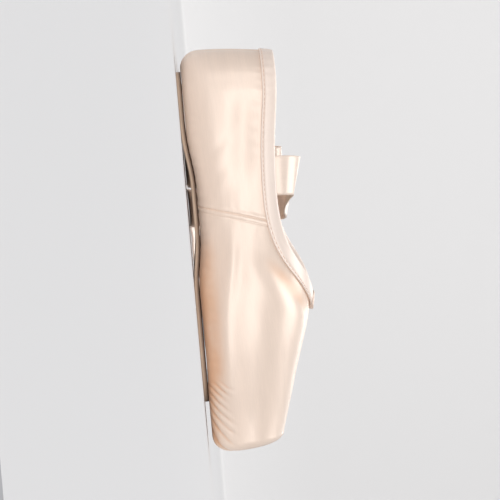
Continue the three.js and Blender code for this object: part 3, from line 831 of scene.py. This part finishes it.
def shell_arrays(last):
    """Both faces of the shell: points, quads, which lie inside and what the shaders read."""
    grid, along, around = shell_grid(last)
    columns, rows = grid.shape[:2]
    half = grid.reshape(-1, 3)
    both = np.vstack([half, half * [1, -1, 1]])
    count = len(half)
    quads = []
    for i in range(columns - 1):
        for k in range(rows - 1):
            a, b = i * rows + k, (i + 1) * rows + k
            quads.append((a, a + 1, b + 1, b))
            quads.append((count + a, count + b, count + b + 1, count + a + 1))
    first, index = merged(both, 2e-6)
    base = both[first]
    along, around = (np.tile(v.ravel(), 2)[first] for v in (along, around))
    faces = tidied(quads, index)
    normals = point_normals(base, faces)
    below = distances(base, last.topline(400))
    relief, soil_and_shade = shell_relief(last.s, base, along, below)
    outer = base + normals * relief[:, None]
    inner = base - normals * last.wall(base[:, 0])[:, None]
    size = len(base)
    edges = dict.fromkeys(edge for face in faces for edge in zip(face, face[1:] + face[:1]))
    rims = [(b, a, a + size, b + size) for a, b in edges if (b, a) not in edges]
    inside = [tuple(corner + size for corner in reversed(face)) for face in faces]
    weave = np.stack([along, around, np.zeros_like(along)], -1)
    marks = {"weave": np.vstack([weave, weave]), "soil_and_shade": np.concatenate([soil_and_shade, np.full(size, 0.2)])}
    material = [0] * len(faces) + [1] * (len(inside) + len(rims))
    return np.vstack([outer, inner]), faces + inside + rims, material, marks


# Binding

# Binding from its sewn edge up: share of its depth, puff in millimetres and share of the gathers
BINDING_PROFILE = (
    (1, -0.35, 0.6), (0.985, -0.08, 0.8), (0.95, 0.06, 1), (0.9, 0.05, 1), (0.86, -0.12, 1), (0.83, -0.22, 1),
    (0.8, -0.12, 1), (0.74, 0.04, 1), (0.62, 0.1, 1), (0.48, 0.12, 1), (0.34, 0.1, 0.9), (0.2, 0.06, 0.8),
    (0.08, 0.02, 0.6), (0, 0, 0.5),
)
BINDING_SEAM = 0.83


def binding_arrays(last):
    """Satin strip folded over the topline; its ends lie one over the other at the throat."""
    s = last.s
    lap, lap_clearance = 0.009, 0.00015
    gather_height, wave_height, stitch_depth = 0.0001, 0.00012, 0.0001
    loop = last.topline(900)
    count = len(loop)
    throat = int(np.argmax(loop[:, 0]))
    step = run_along(np.vstack([loop, loop[:1]]))[-1] / count
    lap_steps = int(round(lap / step))
    order = np.arange(throat - lap_steps // 3, throat + count + lap_steps)[::2] % count
    rising = np.arange(len(order)) * 2 * step
    p = loop[order]
    along = unit(loop[(order + 1) % count] - loop[order - 1])
    out = unit(last.slope(p))
    down = unit(np.cross(out, along))
    wall = last.wall(p[:, 0])[:, None]
    inner, thick, depth = s.binding_clearance, s.binding_thickness, s.binding_width
    top = inner + thick
    lift = (thick + lap_clearance) * (1 - ramp(rising[-1] - rising, 0.0125, 0.017))
    heel = 1 - ramp(p[:, 0], 0.03, 0.08)
    gather = gather_height * heel * (1 + rough(p, 120, 31)) * np.sin(rising * 1300 + 5 * rough(p, 60, 23))
    wave = wave_height * rough(p, 70, 29)

    def seat(deep):
        at = last.onto(p + down * deep) if deep > 0 else p
        return at, unit(last.slope(at)) if deep > 0 else out

    def place(deep, off, swell=0.0):
        at, outward = seat(deep)
        away = lift * np.sign(off if np.isscalar(off) else off[0, 0])
        return at + outward * (off + (swell * (gather + wave) + away)[:, None])

    rings = [place(depth * deep, top + puff * MM, swell) for deep, puff, swell in BINDING_PROFILE]
    reach, within = top + lift[:, None], inner + lift[:, None]
    for turn in np.linspace(0, math.pi, 9)[1:-1]:
        swing = out * ((wall / 2 + reach) * math.cos(turn) - wall / 2)
        rings.append(p - down * (reach * math.sin(turn)) + swing)
    rings += [place(depth * deep, -wall - top - puff * MM) for deep, puff, _ in reversed(BINDING_PROFILE)]
    rings += [place(depth * deep, -wall - inner) for deep in (1, 0.6, 0.2)]
    rings.append(p - down * within - out * (wall + within))
    rings.append(p - down * within + out * within)
    rings += [place(depth * deep, inner) for deep in (0.2, 0.6, 1)]
    points = np.stack(rings, 1)
    faces = closed_strip(len(p), points.shape[1], turned=True)
    across = np.cumsum(np.linalg.norm(np.diff(points, axis=1, prepend=points[:, :1]), axis=-1), axis=1)
    weave = np.stack([np.broadcast_to(rising[:, None], across.shape), across, 0 * across], -1)
    # Painted shade in the sunken stitched groove and along the tucked sewn edge, and darker round the heel
    soil_and_shade = np.full(across.shape, 0.06) + 0.12 * heel[:, None]
    sewn_edge, seam_rows = 0, slice(4, 7)
    soil_and_shade[:, seam_rows] += 0.22
    soil_and_shade[:, sewn_edge] += 0.3
    seam, sunk = depth * BINDING_SEAM, top - stitch_depth
    stitch = {"points": place(seam, sunk, 1), "inner": place(seam, -wall - sunk), "along": along,
              "out": seat(seam)[1], "run": rising}
    return points.reshape(-1, 3), faces, {"weave": weave.reshape(-1, 3), "soil_and_shade": soil_and_shade.ravel()}, stitch


# Stitches: share of the length from the middle and share of the width there
STITCH_PROFILE = ((-0.5, 0.25), (-0.32, 0.9), (0, 1.05), (0.32, 0.9), (0.5, 0.25))
STITCH_SIDES = 6


def stitches(points, along, out, span, width):
    """One mesh of small stitches, each a rounded stroke along its line."""
    points, along, out = (np.asarray(v) for v in (points, along, out))
    side = unit(np.cross(out, along))
    rings = []
    for at, fat in STITCH_PROFILE:
        for turn in np.arange(STITCH_SIDES) * math.tau / STITCH_SIDES:
            swing = side * math.cos(turn) + out * math.sin(turn)
            dip = out * (-0.5 * width * (abs(at) * 2) ** 4)
            rings.append(points + along * (at * span) + swing * (width / 2 * fat) + dip)
    one = closed_strip(len(STITCH_PROFILE), STITCH_SIDES, turned=True)
    faces = [tuple(k + len(rings) * i for k in face) for i in range(len(points)) for face in one]
    return np.stack(rings, 1).reshape(-1, 3), faces


def picked(run, values, pitch):
    """Values at even steps along a run."""
    at = np.arange(pitch / 2, run[-1], pitch)
    return [sampled(at, run, rows) for rows in values]


# Sole and insole

def end_round(x, start, end, radius):
    """Share of the width that a round end leaves."""
    inside = np.clip(np.minimum((x - start), (end - x)) / radius, 0, 1)
    return np.sqrt(inside * (2 - inside))


def bottom_at(last, x, set_back):
    """Edge of the last's flat bottom, drawn in by set_back."""
    step = 0.0005

    def edge(at):
        _, _, flat, _, _, under = last.section(at)
        return last.warped(np.stack(np.broadcast_arrays(at, flat, under), -1))

    here = edge(x)
    along = edge(x + step) - edge(np.maximum(0, x - step))
    along[..., 2] = 0
    along = unit(along)
    inset = np.stack([along[..., 1], -along[..., 0], 0 * along[..., 0]], -1)
    return here + inset * np.asarray(set_back)[..., None]


def slab_arrays(edges, halves, tops, thickness, bevel, inset=0.0):
    """A flat piece from its half widths, with rounded lower and upper edges."""
    shares = np.linspace(0, 1, 7)
    rings = [(share, 0, 0) for share in shares[:-1]] + [(1, -inset, 0), (1, 0, -inset)]
    for turn in np.linspace(math.pi / 2, 0, 5):
        rings.append((1, -bevel * (1 - math.sin(turn)), -thickness + bevel * (1 - math.cos(turn))))
    rings += [(share, -bevel * share, -thickness) for share in shares[-2::-1]]
    side = np.stack([np.stack([edges[:, 0], np.maximum(0, halves * share + back), tops + height], -1)
                     for share, back, height in rings], 1)
    other = side[:, 1:-1][:, ::-1] * [1, -1, 1]
    ring = np.concatenate([side, other], 1)[:, ::-1]
    flat = ring.reshape(-1, 3)
    first, index = merged(flat, 1e-6)
    faces = closed_strip(*ring.shape[:2], turned=True, last_end=halves[-1] > bevel)
    return flat[first], tidied(faces, index)


def outsole_arrays(last):
    """Outsole: points, faces, where its edge has dark wax, partly painted shade, and where it is rubbed."""
    s = last.s
    waver = 0.0001
    end, curve = LENGTH - s.sole_end, s.ball_width / 4
    heel = last.heel_round * (1 - np.cos(np.linspace(0, 1, 25) * math.pi / 2))[1:]
    middle = np.linspace(last.heel_round, end - curve, 80)[1:]
    front = end - curve + curve * np.sin(np.linspace(0, 1, 22) * math.pi / 2)[1:]
    x = np.concatenate([heel, middle, front])
    cut = waver * (1.2 * np.sin(x * 260) + np.sin(x * 611))
    edge = bottom_at(last, x, s.sole_set_back + cut)
    half = edge[:, 1] * end_round(x, -LENGTH, end, curve)
    points, faces = slab_arrays(edge, half, edge[:, 2] - s.gap, s.sole_thickness, s.sole_bevel, 0.0002)
    x, y, z = points.T
    under = np.interp(x, edge[:, 0], edge[:, 2]) - s.gap - z
    reach = np.interp(x, edge[:, 0], half) - np.abs(y)
    # Dark band along the sole's top edge: dark wax, partly painted shade of the groove under the satin
    waxed_edge_and_shade = (1 - ramp(under, 0.0001, 0.0006)) * (1 - ramp(reach, 0.001, 0.003)) * ramp(x, 0.003, 0.012)
    ball, heel = hump(x, 0.155, 0.03), hump(x, 0.02, 0.018)
    front = (1 + ramp(x, 0.19, 0.2)) * ramp(x, 0.178, 0.199)
    rubbed = (0.6 * ball + 0.5 * heel + 0.35 * front) * ramp(reach, 0.001, 0.006)
    return points, faces, {"edge": waxed_edge_and_shade, "soil_and_shade": np.clip(rubbed, 0, 1)}


def insole_arrays(last):
    """Insole board with the filler under it: points, faces and where wear darkens it."""
    s = last.s
    start, end = last.heel_round / 8, LENGTH - s.sole_end - s.lasting_margin
    heel = last.heel_round * (1 - np.cos(np.linspace(0.33, 1, 18) * math.pi / 2))
    x = np.concatenate([heel[heel > start], np.linspace(last.heel_round, end, 90)[1:]])
    wall = last.wall(x)
    edge = bottom_at(last, x, wall + 2 * s.gap)
    half = edge[:, 1] * end_round(x, -LENGTH, LENGTH - s.sole_end, s.ball_width / 4)
    seat = edge[:, 2] + wall + s.gap
    board, faces = slab_arrays(edge, half, seat + s.insole_thickness, s.insole_thickness, 0.0003, 0.0005)
    opening = last.opening(x) - s.filler_clearance
    fills = opening > s.lasting_margin
    top = seat[fills] - s.gap / 10
    filler, filled = slab_arrays(edge[fills], opening[fills], top, top[0] - edge[fills][0, 2], 0.0002)
    points = np.vstack([board, filler])
    faces = faces + [tuple(k + len(board) for k in face) for face in filled]
    x, y, _ = points.T
    across = np.abs(y) / np.maximum(np.interp(x, edge[:, 0], half), MM)
    heel, ball = hump(x, 0.025, 0.018) * (1 - 0.6 * across), hump(x, 0.14, 0.03)
    soil_and_shade = 0.45 * heel + 0.4 * ball + 0.35 * ramp(across, 0.8, 1)
    return points, faces, {"soil_and_shade": np.clip(soil_and_shade, 0, 1)}


# Ribbons: x from the heel, y to the left, z of the lower edge, and bank, the tilt of the width in degrees

RIGHT_ROUTE = (
    (71, -24.2, 26, 0), (71, -23.2, 36, 0), (71, -22.6, 46, 0), (71.5, -21.6, 54, 0), (73, -16, 58.5, 0),
    (77, -5, 56.5, 0), (82, 7, 54.5, 0), (87, 18, 54, 0), (91, 28, 55, 0), (93, 36, 50.5, 0),
    (93.5, 38.5, 38, 0), (93.5, 39, 24, 0), (93.5, 40.5, 10, 0), (93.5, 45, 2, 0), (94, 53, 0, 0),
    (97, 66, 0, -12), (105, 82, 0, -24), (118, 95, 0, -20), (134, 104, 0, 0), (153, 111, 0, 10),
    (170, 122, 0, 24), (180, 138, 0, 30), (182, 157, 0, 30), (175, 175, 0, 24), (161, 188, 0, 8),
    (144, 197, 0, -8), (130, 209, 0, -22), (121, 226, 0, -28), (121, 245, 0, -28), (130, 262, 0, -20),
    (145, 274, 0, -8), (163, 282, 0, 0), (180, 288, 0, 0),
)
LEFT_ROUTE = (
    (71, 24.2, 26, 0), (71, 23.2, 36, 0), (71, 22.8, 46, 0), (71, 24, 53, 0), (71, 28, 55.5, 0),
    (70.8, 31.8, 51, 0), (70.5, 32.6, 40, 0), (70.5, 33, 26, 0), (70.5, 34, 12, 0), (70, 39, 2.5, 0),
    (69, 48, 0, 0), (64, 63, 0, 12), (53, 77, 0, 20), (38, 89, 0, 0), (26, 103, 0, -22),
    (20, 120, 0, -30), (24, 139, 0, -30), (38, 152, 0, -22), (57, 159, 0, 0), (76, 166, 0, 20),
    (91, 178, 0, 28), (96, 196, 0, 30), (91, 214, 0, 24), (77, 227, 0, 8), (60, 236, 0, -8),
    (45, 247, 0, -22), (36, 263, 0, -26), (37, 281, 0, -20), (48, 296, 0, -8), (64, 304, 0, 0),
    (84, 308, 0, 0),
)
RIBBON_STEPS = 7
SOLID_RIBBON_THICKNESS = 0.0008


def route_curve(route):
    """Centripetal curve through a route's points, in metres, with its directions and banks."""
    marks = np.array(route, float)
    xyz = marks[:, :3] * MM
    ends = np.vstack([2 * xyz[0] - xyz[1], xyz, 2 * xyz[-1] - xyz[-2]])
    places, ways = [], []
    for i in range(len(xyz) - 1):
        a, b, c, d = ends[i:i + 4]
        gaps = [max(np.linalg.norm(q - p) ** 0.5, 1e-4) for p, q in ((a, b), (b, c), (c, d))]
        leave = ((b - a) / gaps[0] - (c - a) / (gaps[0] + gaps[1]) + (c - b) / gaps[1]) * gaps[1]
        arrive = ((c - b) / gaps[1] - (d - b) / (gaps[1] + gaps[2]) + (d - c) / gaps[2]) * gaps[1]
        cubic, square = 2 * b - 2 * c + leave + arrive, -3 * b + 3 * c - 2 * leave - arrive
        at_end = i == len(xyz) - 2
        for t in np.linspace(0, 1, RIBBON_STEPS + 1)[: None if at_end else -1]:
            places.append(b + leave * t + square * t**2 + cubic * t**3)
            ways.append(leave + 2 * square * t + 3 * cubic * t**2)
    share = np.linspace(0, len(xyz) - 1, len(places))
    bank = np.radians(spline(np.arange(len(xyz)), marks[:, 3])(share))
    return np.array(places), unit(np.array(ways)), bank


def ribbon_frames(last, route):
    """Centreline of a ribbon with its width and thickness directions."""
    s = last.s
    places, ways, bank = route_curve(route)
    centres, widths, thicks = [], [], []
    across = np.array([1.0, 0, 0])
    for p, along, tilt in zip(places, ways, bank):
        level = np.cross(along, [0, 0, 1])
        if np.linalg.norm(level) > 0.5 and p[2] < s.ribbon_width / 2:
            across = level
        across = unit(across - along * across.dot(along))
        width = across * math.cos(tilt) - np.cross(along, across) * math.sin(tilt)
        thick = np.cross(along, width)
        lift = (abs(width[2]) * s.ribbon_width + abs(thick[2]) * SOLID_RIBBON_THICKNESS + s.gap) / 2
        centres.append([p[0], p[1], max(0, p[2]) + lift])
        widths.append(width)
        thicks.append(thick)
    return np.array(centres), ways, np.array(widths), np.array(thicks)


def ribbon_arrays(last, route, seed):
    """A satin ribbon with beaded selvedges, a folded and sewn end and a slanted cut."""
    s = last.s
    selvedge, fold_end, floor_clearance = 0.93, 0.017, 0.00004
    slant_height, slant_length, cup_depth, ripple_height = 0.007, 0.03, 0.0005, 0.00035
    centres, ways, widths, thicks = ribbon_frames(last, route)
    run = run_along(centres)
    share = np.linspace(-1, 1, 15)
    bead = 1 + 0.9 * (np.abs(share) > selvedge)
    sewn = 1 + 0.9 * (1 - ramp(run, fold_end, fold_end + 0.0015))
    half = s.ribbon_width / 2
    slant = slant_height * ramp(run, run[-1] - slant_length, run[-1])
    cup = cup_depth * rough(np.stack([run, 0 * run, 0 * run], -1), 45, seed) * ramp(run, 0.02, 0.06)
    ripple = ripple_height * np.sin(run * 210 + seed) * ramp(run, 0.1, 0.16)
    top, under = [], []
    for k, thickness in zip(share, bead * s.ribbon_thickness):
        middle = centres + widths * (half * k) + ways * (slant * k)[:, None]
        bow = (cup * (k * k - 0.5) + ripple * k * abs(k))[:, None]
        rise = (thickness / 2 * sewn)[:, None]
        top.append(middle + thicks * (bow + rise))
        under.append(middle + thicks * (bow - rise))
    ring = np.stack(top + under[::-1], 1)
    ring[..., 2] = np.maximum(ring[..., 2], floor_clearance)
    size = ring.shape[1]
    across = np.concatenate([share, share[::-1]])
    off_seam, layer = 0.1, 0.3
    weave = np.stack([np.repeat(run, size), np.tile(across * half + off_seam, len(run)),
                      np.full(size * len(run), layer)], -1)
    wear_and_shade = 0.05 + 0.16 * (1 - ramp(run, 0.016, 0.02)) + 0.3 * ramp(run, run[-1] - 0.004, run[-1])
    soil_and_shade = np.repeat(wear_and_shade, size) + 0.1 * np.tile(np.abs(across) > selvedge, len(run))
    marks = {"weave": weave, "soil_and_shade": soil_and_shade}
    return ring.reshape(-1, 3), closed_strip(len(ring), size), marks, centres, run[-1]


def ribbon_sewing(last, route):
    """Places, directions and outward directions of the stitches that hold a ribbon's folded end."""
    s = last.s
    centres, ways, widths, thicks = ribbon_frames(last, route)
    run = run_along(centres)
    near, far, side, sunk = 0.0025, 0.0155, 0.86, 0.98
    corners = ((near, -side), (near, side), (far, side), (far, -side), (near, -side))
    sewn = []
    for a, b in zip(corners, corners[1:]):
        count, ways_here = (9, widths) if a[0] == b[0] else (6, ways)
        for t in (np.arange(count) + 0.5) / count:
            at, across = a[0] + (b[0] - a[0]) * t, a[1] + (b[1] - a[1]) * t
            i = int(np.searchsorted(run, at))
            middle = sampled(at, run, centres) + widths[i] * (s.ribbon_width / 2 * across)
            for out in (thicks[i], -thicks[i]):
                sewn.append((middle + out * (s.ribbon_thickness * sunk), ways_here[i], out))
    return sewn


# Stage

def aimed(made, place, target):
    """Puts an object at a place, looking at a target."""
    made.location = place
    made.rotation_euler = (Vector(target) - Vector(place)).to_track_quat("-Z", "Y").to_euler()


def lamp(name, place, target, size, power, tint=(1, 1, 1)):
    """A soft rectangular lamp, its size in metres and its power in watts."""
    light = bpy.data.lights.new(name, "AREA")
    light.shape = "RECTANGLE"
    light.size, light.size_y = size
    light.energy = power
    light.color = tint
    made = bpy.data.objects.new(name, light)
    bpy.context.scene.collection.objects.link(made)
    aimed(made, place, target)


SHOE_MIDDLE = (0, 0, 0.03)
LAMPS = {
    "key": {"place": (0.3, -4.5, 0.85), "target": SHOE_MIDDLE, "size": (4.4, 0.9), "power": 35.5,
            "tint": (0.955, 0.98, 1)},
    "streak": {"place": (0.3, -2.4, 0.22), "target": SHOE_MIDDLE, "size": (3.0, 0.14), "power": 2.8,
               "tint": (0.96, 0.98, 1)},
    "top": {"place": (0, -0.5, 3), "target": (0, -0.3, 0), "size": (3, 2), "power": 46,
            "tint": (0.98, 0.985, 1)},
    "fill": {"place": (0.4, 4.4, 2.9), "target": SHOE_MIDDLE, "size": (3, 1.4), "power": 34,
             "tint": (1, 0.99, 0.975)},
    "heel": {"place": (-3.1, -2.9, 0.8), "target": SHOE_MIDDLE, "size": (2.4, 1.6), "power": 17,
             "tint": (0.97, 0.985, 1)},
    "backdrop": {"place": (0, 4.25, 4.85), "target": (0, 8.3, 0.5), "size": (6, 1.6), "power": 144},
}


# Operators, one for each piece or group

class SHOE_OT_camera(bpy.types.Operator):
    """Camera from the side at the floor, rolled so that the heel is up and the toe down"""

    bl_idname = "shoe.camera"
    bl_label = "Camera"

    def execute(self, context):
        yaw, rise, lean = math.radians(8), math.radians(1), math.radians(5)
        distance, target = 1.35, Vector((0.002, 0.0, 0.033))
        data = bpy.data.cameras.new("camera")
        data.lens = 172
        made = bpy.data.objects.new("camera", data)
        context.scene.collection.objects.link(made)
        view = Vector((math.sin(yaw) * math.cos(rise), math.cos(yaw) * math.cos(rise), math.sin(rise)))
        made.location = target - view * distance
        heel_up = Vector((-math.cos(yaw), math.sin(yaw), 0.0))
        side = view.cross(heel_up)
        up = heel_up * math.cos(lean) + side * math.sin(lean)
        right = side * math.cos(lean) - heel_up * math.sin(lean)
        turn = np.array([right, up, -view]).T
        made.rotation_euler = Matrix(turn.tolist()).to_euler()
        context.scene.camera = made
        return {"FINISHED"}


class SHOE_OT_ribbons(bpy.types.Operator):
    """The two ribbons, sewn inside the quarters and lying on the floor behind the shoe"""

    bl_idname = "shoe.ribbons"
    bl_label = "Ribbons"

    def execute(self, context):
        sizes, colours = context.scene.shoe_sizes, context.scene.shoe_colours
        last = Last(sizes)
        material = satin("ribbon_satin", colours.ribbon, 0.345)
        sewing = thread("ribbon_thread", colours.thread)
        sewn = []
        for name, route, seed in (("ribbon_right", RIGHT_ROUTE, 2.0), ("ribbon_left", LEFT_ROUTE, 9.0)):
            points, faces, marks, centres, run = ribbon_arrays(last, route, seed)
            made = mesh_object(name + "_satin", dressed(points), faces, [material], marks,
                               stands_for=(name,))
            path = dressed(centres).tolist()
            sewn += ribbon_sewing(last, route)
        points, faces = stitches(*zip(*sewn), span=0.0017, width=0.0003)
        mesh_object("ribbon_stitches", dressed(points), faces, [sewing])
        return {"FINISHED"}


class SHOE_OT_shell(bpy.types.Operator):
    """Satin shell with its seams, creases and pleats, and its lining"""

    bl_idname = "shoe.shell"
    bl_label = "Shell"

    def execute(self, context):
        sizes, colours = context.scene.shoe_sizes, context.scene.shoe_colours
        points, faces, second, marks = shell_arrays(Last(sizes))
        materials = [satin("shell_satin", colours.satin), cloth("shell_lining", colours.lining)]
        mesh_object("shell", dressed(points), faces, materials, marks, second, ("upper",))
        return {"FINISHED"}


class SHOE_OT_binding(bpy.types.Operator):
    """Binding folded over the topline, with its stitching"""

    bl_idname = "shoe.binding"
    bl_label = "Binding"

    def execute(self, context):
        colours = context.scene.shoe_colours
        points, faces, marks, sewn = binding_arrays(Last(context.scene.shoe_sizes))
        material = satin("binding_satin", colours.binding, 0.42)
        mesh_object("binding_satin", dressed(points), faces, [material], marks,
                    stands_for=("binding",))
        place, within, along, out = picked(
            sewn["run"], [sewn["points"], sewn["inner"], sewn["along"], sewn["out"]], pitch=0.0026)
        both = (np.vstack(pair) for pair in zip((place, along, out), (within, along, -out)))
        points, faces = stitches(*both, span=0.0018, width=0.00028)
        mesh_object("binding_stitches", dressed(points), faces, [thread("binding_thread", colours.thread)])
        return {"FINISHED"}


class SHOE_OT_soles(bpy.types.Operator):
    """Leather outsole and cloth insole"""

    bl_idname = "shoe.soles"
    bl_label = "Soles"

    def execute(self, context):
        sizes, colours = context.scene.shoe_sizes, context.scene.shoe_colours
        last = Last(sizes)
        points, faces, marks = outsole_arrays(last)
        material = leather("sole_leather", colours.sole, colours.sole_edge)
        mesh_object("outsole_leather", dressed(points), faces, [material], marks,
                    stands_for=("outsole",))
        points, faces, marks = insole_arrays(last)
        material = cloth("insole_cloth", colours.insole, 0.0009)
        mesh_object("insole_board", dressed(points), faces, [material], marks,
                    stands_for=("insole",))
        return {"FINISHED"}


class SHOE_OT_stage(bpy.types.Operator):
    """Pale floor that runs up into a backdrop, with soft lamps and a pale world"""

    bl_idname = "shoe.stage"
    bl_label = "Stage"

    def execute(self, context):
        floor = Shader("floor", Roughness=1.0, Specular_IOR_Level=0.0)
        floor.feed(Base_Color=rgba(context.scene.shoe_colours.floor))
        reach, depth, curve, height = 7.0, 5.0, 2.0, 6.0
        turn = np.linspace(0, math.pi / 2, 25)
        rise = np.stack([depth + curve * np.sin(turn), curve * (1 - np.cos(turn))], -1)
        profile = np.vstack([[-reach, 0], rise, [depth + curve, height]])
        points = [(x, y, z) for y, z in profile for x in (-reach, reach)]
        mesh = bpy.data.meshes.new("floor")
        mesh.from_pydata(points, [], strip_faces(len(profile), 2, around=False))
        mesh.materials.append(floor.material)
        mesh.shade_smooth()
        made = bpy.data.objects.new("floor", mesh)
        context.scene.collection.objects.link(made)
        for name, settings in LAMPS.items():
            lamp(name, **settings)
        world = bpy.data.worlds.new("world")
        world.use_nodes = True
        sky = world.node_tree.nodes["Background"].inputs
        sky["Color"].default_value = (0.93, 0.94, 0.96, 1)
        sky["Strength"].default_value = 0.48
        context.scene.world = world
        context.scene.view_settings.view_transform = "Standard"
        return {"FINISHED"}


class SHOE_PT_panel(bpy.types.Panel):
    """Sizes, colours and steps of the shoe"""

    bl_label = "Pointe shoe"
    bl_idname = "SHOE_PT_panel"
    bl_space_type = "VIEW_3D"
    bl_region_type = "UI"
    bl_category = "Pointe shoe"

    def draw(self, context):
        for group in (context.scene.shoe_sizes, context.scene.shoe_colours):
            column = self.layout.column(align=True)
            for name in type(group).__annotations__:
                column.prop(group, name)
        for step in STEPS:
            self.layout.operator(step.bl_idname)


STEPS = (SHOE_OT_camera, SHOE_OT_ribbons, SHOE_OT_shell, SHOE_OT_binding, SHOE_OT_soles, SHOE_OT_stage)
CLASSES = (ShoeSizes, ShoeColours, *STEPS, SHOE_PT_panel)


def register():
    for kind in CLASSES:
        bpy.utils.register_class(kind)
    bpy.types.Scene.shoe_sizes = PointerProperty(type=ShoeSizes)
    bpy.types.Scene.shoe_colours = PointerProperty(type=ShoeColours)


def unregister():
    del bpy.types.Scene.shoe_colours
    del bpy.types.Scene.shoe_sizes
    for kind in reversed(CLASSES):
        bpy.utils.unregister_class(kind)


def main():
    register()
    bpy.ops.shoe.camera()
    bpy.ops.shoe.ribbons()
    bpy.ops.shoe.shell()
    bpy.ops.shoe.binding()
    bpy.ops.shoe.soles()
    bpy.ops.shoe.stage()


if __name__ == "__main__":
    main()
